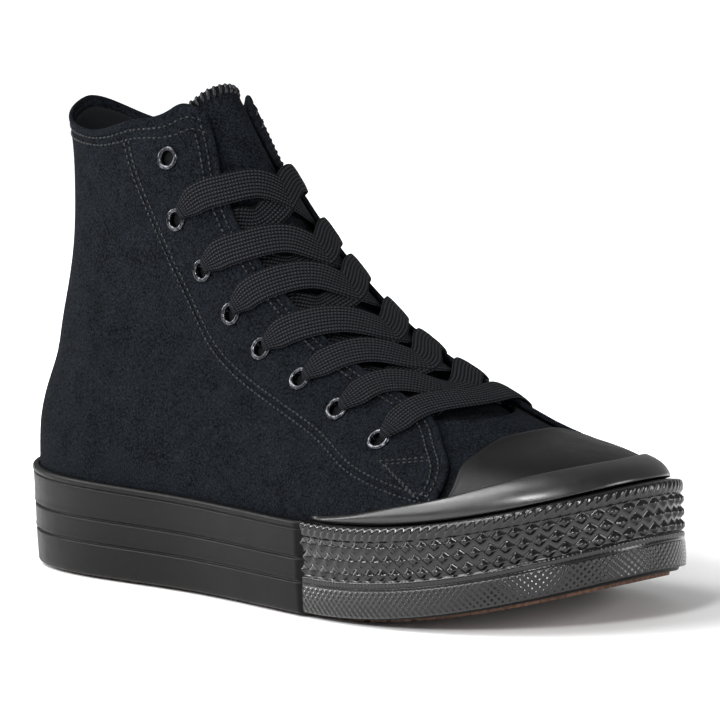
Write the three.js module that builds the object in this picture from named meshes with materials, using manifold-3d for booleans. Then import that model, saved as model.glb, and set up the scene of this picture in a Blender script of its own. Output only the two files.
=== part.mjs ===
// High top sneaker for the right foot: a canvas upper laced over a tongue, on a cupped rubber sole.
// Millimetres. +X points to the toe, +Y to the inner side of the foot, +Z up.
import * as THREE from "three";
import { mergeVertices } from "three/addons/utils/BufferGeometryUtils.js";
import Module from "manifold-3d";

const wasm = await Module();
wasm.setup();

// Sole
const SOLE_LENGTH = 292;
const SOLE_WIDTH = 104; // across the ball of the foot
const FOXING_HEIGHT = 37; // top of the rubber side wall at the heel
const BALL_FOXING_HEIGHT = 32; // top of the rubber side wall at the ball, above the sole's underside
const TOE_SPRING = 16; // how far the toe tip stands off the floor
const SPRING_START = 185; // where the sole leaves the floor, from the heel
const OUTSOLE_PROUD = 1.8; // how far the tread shows below the side wall
const OUTSOLE_DEPTH = 4.2; // tread plate, lugs included
const LUG_DEPTH = 1.3;
const LUG_PITCH = 9.5;
const LUG_GROOVE = 2.4;
const ARCH_LIFT = 1.2; // how far the waist of the tread clears the floor
const RIM_WIDTH = 2.5; // side wall rubber left round the tread plate
const TREAD_GAP = 0.9; // round the tread plate, whose outline is finer than its recess
const HEEL_BED = 14; // floor of the cup under the heel
const BALL_BED = 11; // floor of the cup under the ball, above the sole's underside
const FOXING_WALL = 2.4;
const GROOVE_DEPTH = 0.9;
const GROOVE_HALF = 0.8;
const EDGE_ROUND = 0.9;
const GAP = 0.3; // between pieces that meet

// Toe bumper and toe guard
const BUMPER_START = 181; // rear ends of the bumper, from the heel
const BUMPER_THICKNESS = 2;
const DIAMOND_PITCH = 5.6;
const DIAMOND_RISE = 0.9;
const GUARD_THICKNESS = 1.6;
const TOE_CAP_THICKNESS = 1.3;

// Upper
const COLLAR_HEIGHT = 166; // peak of the collar at the heel
const INSTEP_HEIGHT = 82;
const THROAT_HEIGHT = 169; // the ridge of the instep at the collar
const ANKLE_WIDTH = 49;
const QUARTER_WALL = 2;
const VAMP_WALL = 1.6;
const VAMP_DEPTH = 1.9; // how far the vamp's face lies below the quarters' and the toe cap's
const TONGUE_THICKNESS = 2.4;
const LACE_ROOM = 2.6; // between the quarters and the tongue
const INSOLE_THICKNESS = 3.5;
const PATCH_DIAMETER = 46;
const PATCH_THICKNESS = 1.2;
const PATCH_FROM_HEEL = 58;
const PATCH_HEIGHT = 100;

// Eyelets and lace
const EYELET_DIAMETER = 8.4;
const EYELET_HOLE = 5;
const EYELET_WALL = 0.4;
const EYELET_FLANGE = 0.8;
const EYELET_SEAT = 0.45; // from the curved canvas to the flange's flat back
const LACE_WIDTH = 10.5;
const LACE_THICKNESS = 1.6;

const { lerp, clamp, smoothstep } = THREE.MathUtils;
const steps = (count, make) => Array.from({ length: count + 1 }, (_, i) => make(i / count));

// Natural cubic spline through (knots, values), straight beyond both ends.
function spline(knots, values) {
  const last = knots.length - 1;
  const gaps = knots.slice(1).map((k, i) => k - knots[i]);
  const slopes = gaps.map((gap, i) => (values[i + 1] - values[i]) / gap);
  const curve = new Array(last + 1).fill(0);
  const upper = new Array(last + 1).fill(0);
  for (let i = 1; i < last; i++) {
    const pivot = 2 * (gaps[i - 1] + gaps[i]) - gaps[i - 1] * upper[i - 1];
    upper[i] = gaps[i] / pivot;
    curve[i] = (6 * (slopes[i] - slopes[i - 1]) - gaps[i - 1] * curve[i - 1]) / pivot;
  }
  for (let i = last - 1; i > 0; i--) curve[i] -= upper[i] * curve[i + 1];
  return (x) => {
    const i = clamp(knots.findIndex((k) => x < k) - 1, 0, last - 1);
    const piece = x >= knots[last] ? last - 1 : i;
    const a = (knots[piece + 1] - x) / gaps[piece];
    const b = 1 - a;
    const straight = a * values[piece] + b * values[piece + 1];
    if (a < 0 || b < 0) {
      const end = a < 0 ? last : 0;
      const inner = a < 0 ? curve[last - 1] : curve[1];
      const slope = slopes[piece] + (a < 0 ? 1 : -1) * (gaps[piece] * inner) / 6;
      return values[end] + (x - knots[end]) * slope;
    }
    const bend = (a ** 3 - a) * curve[piece] + (b ** 3 - b) * curve[piece + 1];
    return straight + (bend * gaps[piece] ** 2) / 6;
  };
}

// A table's rows, each an array, as one spline a column over the first column.
function columnsOf(names, rows) {
  const knots = rows.map((row) => row[0]);
  const entries = names.slice(1).map((name, c) => [name, spline(knots, rows.map((row) => row[c + 1]))]);
  return Object.fromEntries(entries);
}

const springAt = (x) => TOE_SPRING * Math.max(0, (x - SPRING_START) / (SOLE_LENGTH - SPRING_START)) ** 2;

// Rings
// A ring is a level outline: phi runs from 0 at the heel over the outer side to pi at the toe,
// and back over the inner side with phi below 0. Its half widths stand at four shares of its length.
const STATIONS = [0, 0.38, 0.7, 1];
const TOE_SHIFT_START = 0.4;

function makeRing(heelX, toeX, outer, inner, toeShift) {
  const widths = { outer: spline(STATIONS, outer), inner: spline(STATIONS, inner) };
  return { heelX, toeX, widths, toeShift };
}

const shareOf = (phi) => (1 - Math.cos(phi)) / 2;
const phiAt = (ring, x) => Math.acos(clamp(1 - (2 * (x - ring.heelX)) / (ring.toeX - ring.heelX), -1, 1));

function ringPoint(ring, phi) {
  const share = shareOf(phi);
  const width = (Math.sin(phi) >= 0 ? ring.widths.outer : ring.widths.inner)(share);
  const shift = ring.toeShift * Math.max(0, (share - TOE_SHIFT_START) / (1 - TOE_SHIFT_START)) ** 1.5;
  return new THREE.Vector2(lerp(ring.heelX, ring.toeX, share), shift - Math.sin(phi) * width);
}

// The ring's point at phi, moved inwards by a distance square to the outline.
function insetPoint(ring, phi, inset) {
  const step = 0.02;
  const ahead = ringPoint(ring, phi + step);
  const along = ahead.sub(ringPoint(ring, phi - step)).normalize();
  return ringPoint(ring, phi).add(new THREE.Vector2(-along.y, along.x).multiplyScalar(inset));
}

// The sole's half widths, as shares of half its width at the ball.
const SOLE_OUTER = [1.308, 0.788, 1.096, 1.385].map((share) => (share * SOLE_WIDTH) / 2);
const SOLE_INNER = [1.308, 0.712, 1.077, 1.385].map((share) => (share * SOLE_WIDTH) / 2);
const TOE_SHIFT = 0.058 * SOLE_WIDTH;
const soleRing = makeRing(0, SOLE_LENGTH, SOLE_OUTER, SOLE_INNER, TOE_SHIFT);

// The upper's foot stands inside the side wall, and at the toe inside the bumper too.
const SIDE_INSET = FOXING_WALL + GAP;
const TOE_INSET = SIDE_INSET + BUMPER_THICKNESS + GAP;
const BALL_INSET_SHARE = 1.05; // of the toe's inset, at the outer side of the ball
const FOOT_LENGTH = SOLE_LENGTH - SIDE_INSET - TOE_INSET;
const endWidth = (width, inset) => Math.sqrt(((2 * width ** 2) / SOLE_LENGTH - inset) * (FOOT_LENGTH / 2));
const footWidths = (sole) => [
  endWidth(sole[0], SIDE_INSET),
  sole[1] - SIDE_INSET,
  sole[2] - BALL_INSET_SHARE * TOE_INSET,
  endWidth(sole[3], TOE_INSET),
];

// Sections
// Each row is a ring of the upper. level: its place from the floor of the cup, 0, to the collar, 1.
// heel, toe: ends as shares of the sole's length. rise: heel height as a share of the collar's.
// instep and throat: height of the ridge, as shares of the instep's height and of what the throat adds.
// dip: how far the sides stand from the straight line, as a share of the collar's height.
// o0 to o3 and i0 to i3: outer and inner half widths, as shares of half the ball's or the ankle's.
const FOOT_LEVEL = 0.1;
const SECTION_COLUMNS = ["level", "heel", "rise", "toe", "instep", "throat", "dip", "shift"];
const FOOT_SECTIONS = [
  [0.22, 0.0154, 0.325, 0.9605, 0.463, 0, -0.012, 1],
  [0.34, 0.031, 0.41, 0.9075, 0.561, 0, -0.006, 1],
  [0.44, 0.046, 0.482, 0.8355, 0.66, 0, 0, 0.83],
  [0.54, 0.058, 0.554, 0.743, 0.824, 0, 0, 0.67],
  [0.64, 0.07, 0.6265, 0.644, 1, 0, 0, 0.5],
  [0.74, 0.081, 0.711, 0.548, 1, 0.23, 0, 0.33],
  [0.84, 0.0877, 0.807, 0.466, 1, 0.494, 0, 0.17],
  [0.92, 0.089, 0.904, 0.4075, 1, 0.747, -0.024, 0],
  [1, 0.084, 1, 0.3595, 1, 1, -0.066, 0],
];
const WIDTH_COLUMNS = ["level", "ball", "ankle", "o0", "o1", "o2", "o3", "i0", "i1", "i2", "i3"];
const WIDTH_SECTIONS = [
  [0.22, 1, 0, 1.21, 0.73, 0.96, 1.23, 1.21, 0.673, 0.96, 1.23],
  [0.34, 1, 0, 1.115, 0.683, 0.846, 1.115, 1.115, 0.654, 0.865, 1.115],
  [0.44, 1, 0, 1, 0.644, 0.73, 0.96, 1, 0.615, 0.77, 0.96],
  [0.54, 1, 0, 0.904, 0.587, 0.635, 0.808, 0.904, 0.577, 0.673, 0.808],
  [0.64, 0.5, 0.5, 1.098, 0.732, 0.758, 0.915, 1.098, 0.732, 0.81, 0.915],
  [0.74, 0, 1, 1.51, 1.08, 1.1, 1.265, 1.51, 1.08, 1.14, 1.265],
  [0.84, 0, 1, 1.367, 1.04, 1.06, 1.143, 1.367, 1.04, 1.06, 1.143],
  [0.92, 0, 1, 1.245, 1.02, 1.02, 1.06, 1.245, 1.02, 1.02, 1.06],
  [1, 0, 1, 1.143, 1, 0.98, 1.02, 1.143, 1, 0.98, 1.02],
];

function footRow() {
  const outer = footWidths(SOLE_OUTER);
  const inner = footWidths(SOLE_INNER);
  const heights = [FOXING_HEIGHT, SOLE_LENGTH - TOE_INSET, BALL_FOXING_HEIGHT, -1.5];
  return [FOOT_LEVEL, SIDE_INSET, ...heights, TOE_SHIFT, ...outer, ...inner];
}

// The same rows in millimetres.
function sectionRow(form, widths) {
  const f = Object.fromEntries(SECTION_COLUMNS.map((name, i) => [name, form[i]]));
  const w = Object.fromEntries(WIDTH_COLUMNS.map((name, i) => [name, widths[i]]));
  const half = (w.ball * SOLE_WIDTH + w.ankle * ANKLE_WIDTH) / 2;
  const ridge = f.instep * INSTEP_HEIGHT + f.throat * (THROAT_HEIGHT - INSTEP_HEIGHT);
  const ends = [f.heel * SOLE_LENGTH, f.rise * COLLAR_HEIGHT, f.toe * SOLE_LENGTH, ridge];
  const sides = [w.o0, w.o1, w.o2, w.o3, w.i0, w.i1, w.i2, w.i3].map((share) => share * half);
  return [f.level, ...ends, f.dip * COLLAR_HEIGHT, f.shift * TOE_SHIFT, ...sides];
}
const LAST_COLUMNS = ["level", "heelX", "heelZ", "toeX", "toeZ", "dip", "toeShift"];
const HALF_WIDTHS = ["o0", "o1", "o2", "o3", "i0", "i1", "i2", "i3"];
const last = columnsOf(
  [...LAST_COLUMNS, ...HALF_WIDTHS],
  [footRow(), ...FOOT_SECTIONS.map((form, i) => sectionRow(form, WIDTH_SECTIONS[i]))],
);

const ringCache = new Map();
function sectionAt(level) {
  const key = Math.max(level, FOOT_LEVEL);
  if (!ringCache.has(key)) {
    const at = (name) => last[name](key);
    const widths = HALF_WIDTHS.map(at);
    const ring = makeRing(at("heelX"), at("toeX"), widths.slice(0, 4), widths.slice(4), at("toeShift"));
    ringCache.set(key, { ...ring, heelZ: at("heelZ"), toeZ: at("toeZ"), dip: at("dip") });
  }
  return ringCache.get(key);
}

// Columns of the upper from the heel to the quarter's edge, and on over the vamp to the toe.
const QUARTER_COLUMNS = 13;
const VAMP_COLUMNS = 5;
const LAYER_TURN = 0.004; // the width of the step from quarter to vamp

// Where a column stands on one side, as a share of half the way round.
function columnTurn(column, level) {
  const edge = quarterEdge.turn(level);
  if (column <= QUARTER_COLUMNS) return (edge * column) / QUARTER_COLUMNS;
  return lerp(edge + LAYER_TURN, 1, (column - QUARTER_COLUMNS - 1) / VAMP_COLUMNS);
}

const bedAt = (x) => lerp(HEEL_BED, BALL_BED, clamp(x / SOLE_LENGTH, 0, 1)) + springAt(x);

// A point of the upper's outer face.
function lastPoint(level, phi) {
  const ring = sectionAt(level);
  const share = shareOf(phi);
  const plan = ringPoint(ring, phi);
  const line = lerp(ring.heelZ, ring.toeZ, share) + ring.dip * 4 * share * (1 - share);
  const top = line + springAt(plan.x);
  const bed = bedAt(plan.x) + GAP;
  const z = level < FOOT_LEVEL ? lerp(bed, top, level / FOOT_LEVEL) : top;
  return new THREE.Vector3(plan.x, plan.y, z);
}

function lastNormal(level, phi) {
  const turn = 0.015;
  const rise = 0.006;
  const low = level < FOOT_LEVEL ? Math.min(level, FOOT_LEVEL - 2 * rise) : level - rise;
  const along = lastPoint(level, phi + turn).sub(lastPoint(level, phi - turn));
  const up = lastPoint(low + 2 * rise, phi).sub(lastPoint(low, phi));
  return along.cross(up).normalize();
}

const lastOffset = (level, phi, out) => lastPoint(level, phi).addScaledVector(lastNormal(level, phi), out);

// Meshes
function meshFrom(points, triangles) {
  const geometry = new THREE.BufferGeometry();
  geometry.setAttribute("position", new THREE.Float32BufferAttribute(points.flatMap((p) => p.toArray()), 3));
  geometry.setIndex(triangles.flat());
  return geometry;
}

// Closed rings of as many points each, from the first, which is capped, over the sides to the last.
function stackSolid(rings) {
  const count = rings[0].length;
  const triangles = [];
  const quad = (a, b, c, d) => triangles.push([a, b, c], [a, c, d]);
  for (let r = 0; r + 1 < rings.length; r++) {
    for (let i = 0; i < count; i++) {
      const next = (i + 1) % count;
      quad(r * count + i, r * count + next, (r + 1) * count + next, (r + 1) * count + i);
    }
  }
  const top = (rings.length - 1) * count;
  for (let i = 0; i < count / 2; i++) {
    const [far, near] = [i + 1, i];
    const [farInner, nearInner] = [(count - far) % count, (count - near) % count];
    if (far !== farInner) triangles.push([near, farInner, far], [top + near, top + far, top + farInner]);
    if (near !== nearInner) {
      triangles.push([near, nearInner, farInner], [top + near, top + farInner, top + nearInner]);
    }
  }
  return meshFrom(rings.flat(), triangles);
}

// A wall over a grid of rows and columns. outer and inner give its two faces at (row, column), and
// keep says which cells it has. Edges next to a missing cell are closed.
function wallSolid(rows, columns, wraps, outer, inner, keep = () => true) {
  const points = [];
  const at = (r, c, side) => 2 * (r * columns + (c % columns)) + side;
  for (let r = 0; r < rows; r++) {
    for (let c = 0; c < columns; c++) points.push(outer(r, c), inner(r, c));
  }
  const cells = wraps ? columns : columns - 1;
  const has = (r, c) => {
    const column = wraps ? (c + cells) % cells : c;
    return r >= 0 && r < rows - 1 && column >= 0 && column < cells && keep(r, column);
  };
  const triangles = [];
  const quad = (a, b, c, d) => triangles.push([a, b, c], [a, c, d]);
  for (let r = 0; r < rows - 1; r++) {
    for (let c = 0; c < cells; c++) {
      if (!has(r, c)) continue;
      quad(at(r, c, 0), at(r, c + 1, 0), at(r + 1, c + 1, 0), at(r + 1, c, 0));
      quad(at(r, c, 1), at(r + 1, c, 1), at(r + 1, c + 1, 1), at(r, c + 1, 1));
      if (!has(r - 1, c)) quad(at(r, c, 0), at(r, c, 1), at(r, c + 1, 1), at(r, c + 1, 0));
      if (!has(r + 1, c)) quad(at(r + 1, c, 0), at(r + 1, c + 1, 0), at(r + 1, c + 1, 1), at(r + 1, c, 1));
      if (!has(r, c - 1)) quad(at(r, c, 0), at(r + 1, c, 0), at(r + 1, c, 1), at(r, c, 1));
      if (!has(r, c + 1)) quad(at(r, c + 1, 0), at(r, c + 1, 1), at(r + 1, c + 1, 1), at(r + 1, c + 1, 0));
    }
  }
  return meshFrom(points, triangles);
}

// Outlines of as many points each, one after the other along a band, with both ends closed. Each
// outline runs up the outer face and down the inner one, and the band runs as a ring's angles do.
function bandSolid(outlines) {
  const count = outlines[0].length;
  const triangles = [];
  for (let s = 0; s + 1 < outlines.length; s++) {
    for (let i = 0; i < count; i++) {
      const next = (i + 1) % count;
      const [a, b, c, d] = [s * count + i, (s + 1) * count + i, (s + 1) * count + next, s * count + next];
      triangles.push([a, b, c], [a, c, d]);
    }
  }
  const end = (outlines.length - 1) * count;
  const flat = (outline) => outline.reduce((sum, p) => sum.add(p), new THREE.Vector3()).divideScalar(count);
  const points = [...outlines.flat(), flat(outlines[0]), flat(outlines[outlines.length - 1])];
  const [first, final] = [points.length - 2, points.length - 1];
  for (let i = 0; i < count; i++) {
    const next = (i + 1) % count;
    triangles.push([first, i, next], [final, end + next, end + i]);
  }
  return meshFrom(points, triangles);
}

function solidOf(geometry) {
  const bare = geometry.clone();
  bare.deleteAttribute("normal");
  bare.deleteAttribute("uv");
  const merged = mergeVertices(bare, 1e-4);
  const vertProperties = merged.attributes.position.array;
  return new wasm.Manifold(
    new wasm.Mesh({ numProp: 3, vertProperties, triVerts: new Uint32Array(merged.index.array) }),
  );
}

function geometryOf(solid) {
  const mesh = solid.getMesh();
  const geometry = new THREE.BufferGeometry();
  geometry.setAttribute("position", new THREE.BufferAttribute(mesh.vertProperties, 3));
  geometry.setIndex(new THREE.BufferAttribute(mesh.triVerts, 1));
  return geometry;
}

// Sole pieces
const rimAt = (x) => OUTSOLE_PROUD + springAt(x);

// Height of the side wall's top edge over the upper's foot at an angle.
const foxingTop = (phi) => lastPoint(FOOT_LEVEL, phi).z;

// The angles of the upper's columns at its foot, once round: pieces that meet there share them.
function footAngles() {
  const half = QUARTER_COLUMNS + 1 + VAMP_COLUMNS;
  const oneSide = steps(half, (share) => columnTurn(Math.round(share * half), FOOT_LEVEL) * Math.PI);
  return [...oneSide, ...oneSide.slice(1, -1).reverse().map((phi) => 2 * Math.PI - phi)];
}

// The side wall with the cup's floor: two grooves run round it, and it steps in behind the bumper.
function sidewall() {
  const startPhi = phiAt(soleRing, BUMPER_START);
  const stepTurn = 0.006;
  const around = [...footAngles(), startPhi - stepTurn, startPhi, 2 * Math.PI - startPhi];
  const angles = [...around, 2 * Math.PI - startPhi + stepTurn].sort((a, b) => a - b);
  const behind = (phi) => phi >= startPhi && phi <= 2 * Math.PI - startPhi;
  const outer = (inset, height) => (phi) => {
    const moved = inset + (behind(phi) ? BUMPER_THICKNESS + GAP : 0);
    const plan = insetPoint(soleRing, phi, moved);
    return new THREE.Vector3(plan.x, plan.y, height(plan.x, phi));
  };
  const groove = (phi) => (behind(phi) ? 0 : GROOVE_DEPTH);
  const face = (share, dip, shift) => (phi) => {
    const at = (x) => lerp(rimAt(x), foxingTop(phi), share) + shift;
    return outer(dip ? groove(phi) : 0, at)(phi);
  };
  const grooveLines = (share) => [
    face(share, false, -GROOVE_HALF),
    face(share, true, 0),
    face(share, false, GROOVE_HALF),
  ];
  const inner = (height) => (phi) => {
    const plan = insetPoint(sectionAt(FOOT_LEVEL), phi, -GAP);
    return new THREE.Vector3(plan.x, plan.y, height(plan.x, phi));
  };
  const recess = (x) => OUTSOLE_DEPTH + GAP + springAt(x);
  const lines = [
    outer(RIM_WIDTH, recess),
    outer(RIM_WIDTH, rimAt),
    outer(EDGE_ROUND, rimAt),
    outer(0, (x) => rimAt(x) + EDGE_ROUND),
    ...grooveLines(0.34),
    ...grooveLines(0.6),
    outer(0, (x, phi) => foxingTop(phi) - EDGE_ROUND),
    outer(EDGE_ROUND, (x, phi) => foxingTop(phi)),
    inner((x, phi) => foxingTop(phi)),
    inner(bedAt),
  ];
  return stackSolid(lines.map((line) => angles.map(line)));
}

// The tread plate: cross bars under heel and forefoot, and a plain waist that clears the floor.
const WAIST_START = 0.3;
const WAIST_END = 0.45;
function outsole() {
  const waist = [WAIST_START * SOLE_LENGTH, WAIST_END * SOLE_LENGTH];
  const plateInset = RIM_WIDTH + TREAD_GAP;
  const length = SOLE_LENGTH - BUMPER_THICKNESS - GAP - 2 * plateInset;
  const lugRows = Math.floor(length / LUG_PITCH);
  const stations = [];
  for (let row = 1; row < lugRows; row++) {
    const x = plateInset + (row * length) / lugRows;
    const inWaist = x > waist[0] && x < waist[1];
    const near = Math.min(Math.abs(x - waist[0]), Math.abs(x - waist[1])) < LUG_GROOVE;
    if (inWaist || near) continue;
    const [top, foot] = [LUG_GROOVE / 4, LUG_GROOVE / 2];
    stations.push([x - foot, 0], [x - top, LUG_DEPTH], [x + top, LUG_DEPTH], [x + foot, 0]);
  }
  const waistSteps = Math.ceil((waist[1] - waist[0]) / LUG_PITCH);
  steps(waistSteps, (share) => {
    const ends = share === 0 || share === 1;
    stations.push([lerp(...waist, share), ends ? 0 : ARCH_LIFT]);
  });
  stations.sort((a, b) => a[0] - b[0]);
  const tips = [[0, 0], ...stations, [SOLE_LENGTH, 0]];
  const path = [...tips, ...stations.slice().reverse()];
  const bumper = (x) => (BUMPER_THICKNESS + GAP) * smoothstep(x, BUMPER_START - LUG_PITCH, BUMPER_START);
  const ringOf = (height) =>
    path.map(([x, lift], i) => {
      const phi = phiAt(soleRing, x) * (i < tips.length ? 1 : -1);
      const plan = insetPoint(soleRing, phi, plateInset + bumper(x));
      return new THREE.Vector3(plan.x, plan.y, springAt(plan.x) + height(lift));
    });
  return stackSolid([ringOf((lift) => lift), ringOf(() => OUTSOLE_DEPTH)]);
}

// The toe bumper's side, from its foot up: place as a share of its height, and what each line does.
// "sink" is how far the line lies in, as a share of the diamonds' rise, and "lift" raises every other
// column of it.
const BUMPER_LINES = [
  { share: 0, sink: 0.4, lift: 0 },
  { share: 0.35, sink: 0.3, lift: 0 },
  { share: 0.38, sink: 1, lift: 0 },
  { share: 0.48, sink: 1, lift: 1 },
  { share: 0.58, sink: 1, lift: -1 },
  { share: 0.68, sink: 1, lift: 1 },
  { share: 0.78, sink: 1, lift: -1 },
  { share: 0.83, sink: 1, lift: 0 },
  { share: 0.9, sink: 0.1, lift: -0.5 },
  { share: 1, sink: 1, lift: 0 },
];
function toeBumper() {
  const startPhi = phiAt(soleRing, BUMPER_START);
  const turns = steps(400, (share) => lerp(startPhi, 2 * Math.PI - startPhi, share));
  const outline = turns.map((phi) => insetPoint(soleRing, phi, 0));
  const run = [0];
  outline.slice(1).forEach((p, i) => run.push(run[i] + p.distanceTo(outline[i])));
  const total = run[run.length - 1];
  const columns = 2 * Math.round(total / DIAMOND_PITCH) + 1;
  const angleAt = spline(run, turns);
  const angles = steps(columns - 1, (share) => angleAt(share * total));
  const place = (r, c, inset) => {
    const phi = angles[c];
    const plan = insetPoint(soleRing, phi, inset);
    return new THREE.Vector3(plan.x, plan.y, lerp(rimAt(plan.x), foxingTop(phi), BUMPER_LINES[r].share));
  };
  const outer = (r, c) => {
    const { sink, lift } = BUMPER_LINES[r];
    const odd = c % 2 === 1;
    const raised = lift > 0 ? odd : !odd;
    const ends = c === 0 || c === columns - 1;
    const rise = raised && !ends ? Math.abs(lift) : 0;
    const depth = lift !== 0 && Math.abs(lift) < 1 ? sink + Math.abs(lift) - rise : sink - rise;
    return place(r, c, DIAMOND_RISE * depth);
  };
  const top = BUMPER_LINES.length - 1;
  return bandSolid(
    angles.map((phi, c) => [
      ...BUMPER_LINES.map((line, r) => outer(r, c)),
      place(top, c, BUMPER_THICKNESS),
      place(0, c, BUMPER_THICKNESS),
    ]),
  );
}

function insole() {
  const inset = (phi) => {
    const turn = Math.abs(phi > Math.PI ? phi - 2 * Math.PI : phi) / Math.PI;
    return lerp(QUARTER_WALL, VAMP_DEPTH + VAMP_WALL, smoothstep(turn, 0.55, 0.7)) + 2 * GAP;
  };
  const at = (height) => (phi) => {
    const plan = insetPoint(sectionAt(FOOT_LEVEL), phi, inset(phi));
    return new THREE.Vector3(plan.x, plan.y, bedAt(plan.x) + height);
  };
  const angles = footAngles();
  return stackSolid([angles.map(at(GAP)), angles.map(at(GAP + INSOLE_THICKNESS))]);
}

// Upper pieces
// The quarters' front edge: level, and turn as a share of half the way round. Below the knee it is
// the edge on the vamp, above it the edge of the throat.
const KNEE_LEVEL = 0.51;
const quarterEdge = columnsOf(
  ["level", "turn"],
  [
    [0, 0.72],
    [0.1, 0.722],
    [0.233, 0.744],
    [0.38, 0.79],
    [0.453, 0.819],
    [0.517, 0.848],
    [0.6, 0.822],
    [0.729, 0.783],
    [0.841, 0.773],
    [0.908, 0.798],
    [0.953, 0.829],
    [1, 0.85],
  ],
);
// How far the collar stands over its level, from the heel to the quarter's edge.
const collarRise = columnsOf(
  ["share", "rise"],
  [
    [0, 0],
    [0.5, 0],
    [0.69, 0.006],
    [0.85, 0.0105],
    [0.92, 0.013],
    [1, -0.012],
  ],
);
const COLLAR_START = 0.86; // the level from which the collar's rise is blended in
const UPPER_LEVELS = [0, 0.1, 0.18, 0.26, 0.34, 0.42, KNEE_LEVEL, 0.59, 0.67, 0.75, 0.83, 0.9, 0.955, 1];

function upper() {
  const half = QUARTER_COLUMNS + 1 + VAMP_COLUMNS;
  const columns = 2 * half;
  const knee = UPPER_LEVELS.indexOf(KNEE_LEVEL);
  const folded = (c) => (c <= half ? c : columns - c);
  const place = (r, c) => {
    const side = folded(c);
    const level = UPPER_LEVELS[r];
    const back = Math.min(side / QUARTER_COLUMNS, 1);
    const turn = columnTurn(side, level) * Math.PI;
    const rise = smoothstep(level, COLLAR_START, 1) * collarRise.rise(back);
    return [level + rise, c <= half ? turn : -turn];
  };
  const outer = (r, c) => {
    const [level, phi] = place(r, c);
    return lastOffset(level, phi, folded(c) > QUARTER_COLUMNS ? -VAMP_DEPTH : 0);
  };
  const inner = (r, c) => {
    const [level, phi] = place(r, c);
    const inFront = folded(c) >= QUARTER_COLUMNS && r <= knee;
    return lastOffset(level, phi, inFront ? -VAMP_DEPTH - VAMP_WALL : -QUARTER_WALL);
  };
  const keep = (r, c) => {
    const inThroat = c >= QUARTER_COLUMNS && c < columns - QUARTER_COLUMNS;
    return !(inThroat && r >= knee);
  };
  const body = wallSolid(UPPER_LEVELS.length, columns, true, outer, inner, keep);
  return geometryOf(eyeletPlaces().reduce((solid, seat) => solid.subtract(solidOf(eyeletHole(seat))), solidOf(body)));
}

// Toe cap: its rear edge as level over turn, from the quarter's edge to the middle.
const CAP_CORNER_TURN = 0.749;
const capRear = columnsOf(
  ["turn", "level"],
  [
    [CAP_CORNER_TURN, 0.235],
    [0.778, 0.326],
    [0.825, 0.393],
    [0.904, 0.446],
    [0.975, 0.457],
    [1, 0.458],
  ],
);
const CAP_FOOT_LEVEL = 0.12;
function toeCap() {
  const [rows, columns] = [6, 17];
  const margin = 0.012;
  const place = (r, c) => {
    const across = (2 * c) / (columns - 1) - 1;
    const foot = quarterEdge.turn(CAP_FOOT_LEVEL) + margin;
    const corner = quarterEdge.turn(capRear.level(CAP_CORNER_TURN)) + margin;
    const start = lerp(foot, corner, r / (rows - 1));
    const turn = 1 - (1 - start) * Math.abs(across);
    const rear = capRear.level(1 - (1 - CAP_CORNER_TURN) * Math.abs(across));
    return [lerp(CAP_FOOT_LEVEL, rear, r / (rows - 1)), Math.PI * (across <= 0 ? turn : 2 - turn)];
  };
  const outer = (r, c) => lastOffset(...place(r, c), r === rows - 1 ? -0.5 * TOE_CAP_THICKNESS : 0);
  return wallSolid(rows, columns, false, outer, (r, c) => lastOffset(...place(r, c), -TOE_CAP_THICKNESS));
}

// Toe guard: the smooth band over the toe cap's foot, which tapers out along both sides.
const guardTop = columnsOf(
  ["turn", "level"],
  [
    [0.58, 0.115],
    [0.635, 0.15],
    [0.676, 0.18],
    [0.755, 0.221],
    [0.82, 0.252],
    [0.89, 0.265],
    [1, 0.262],
  ],
);
const GUARD_START = 0.59;
function toeGuard() {
  const round = [0.15, 0, 0.1, 0.45];
  const [rows, columns] = [round.length, 33];
  const place = (r, c) => {
    const across = (2 * c) / (columns - 1) - 1;
    const turn = 1 - (1 - GUARD_START) * Math.abs(across);
    const phi = Math.PI * (across <= 0 ? turn : 2 - turn);
    const probe = 0.02;
    const rate = (lastPoint(FOOT_LEVEL + probe, phi).z - foxingTop(phi)) / probe;
    const foot = FOOT_LEVEL + (1.5 * GAP) / rate;
    return [lerp(foot, Math.max(guardTop.level(turn), foot + 1 / rate), r / (rows - 1)), phi];
  };
  const at = (r, c, out) => lastOffset(...place(r, c), out);
  return bandSolid(
    steps(columns - 1, (share) => {
      const c = Math.round(share * (columns - 1));
      const outer = round.map((less, r) => at(r, c, GAP + GUARD_THICKNESS * (1 - less)));
      const inner = [3, 2, 0].map((r) => at(r, c, GAP));
      return [...outer, ...inner];
    }),
  );
}

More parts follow.
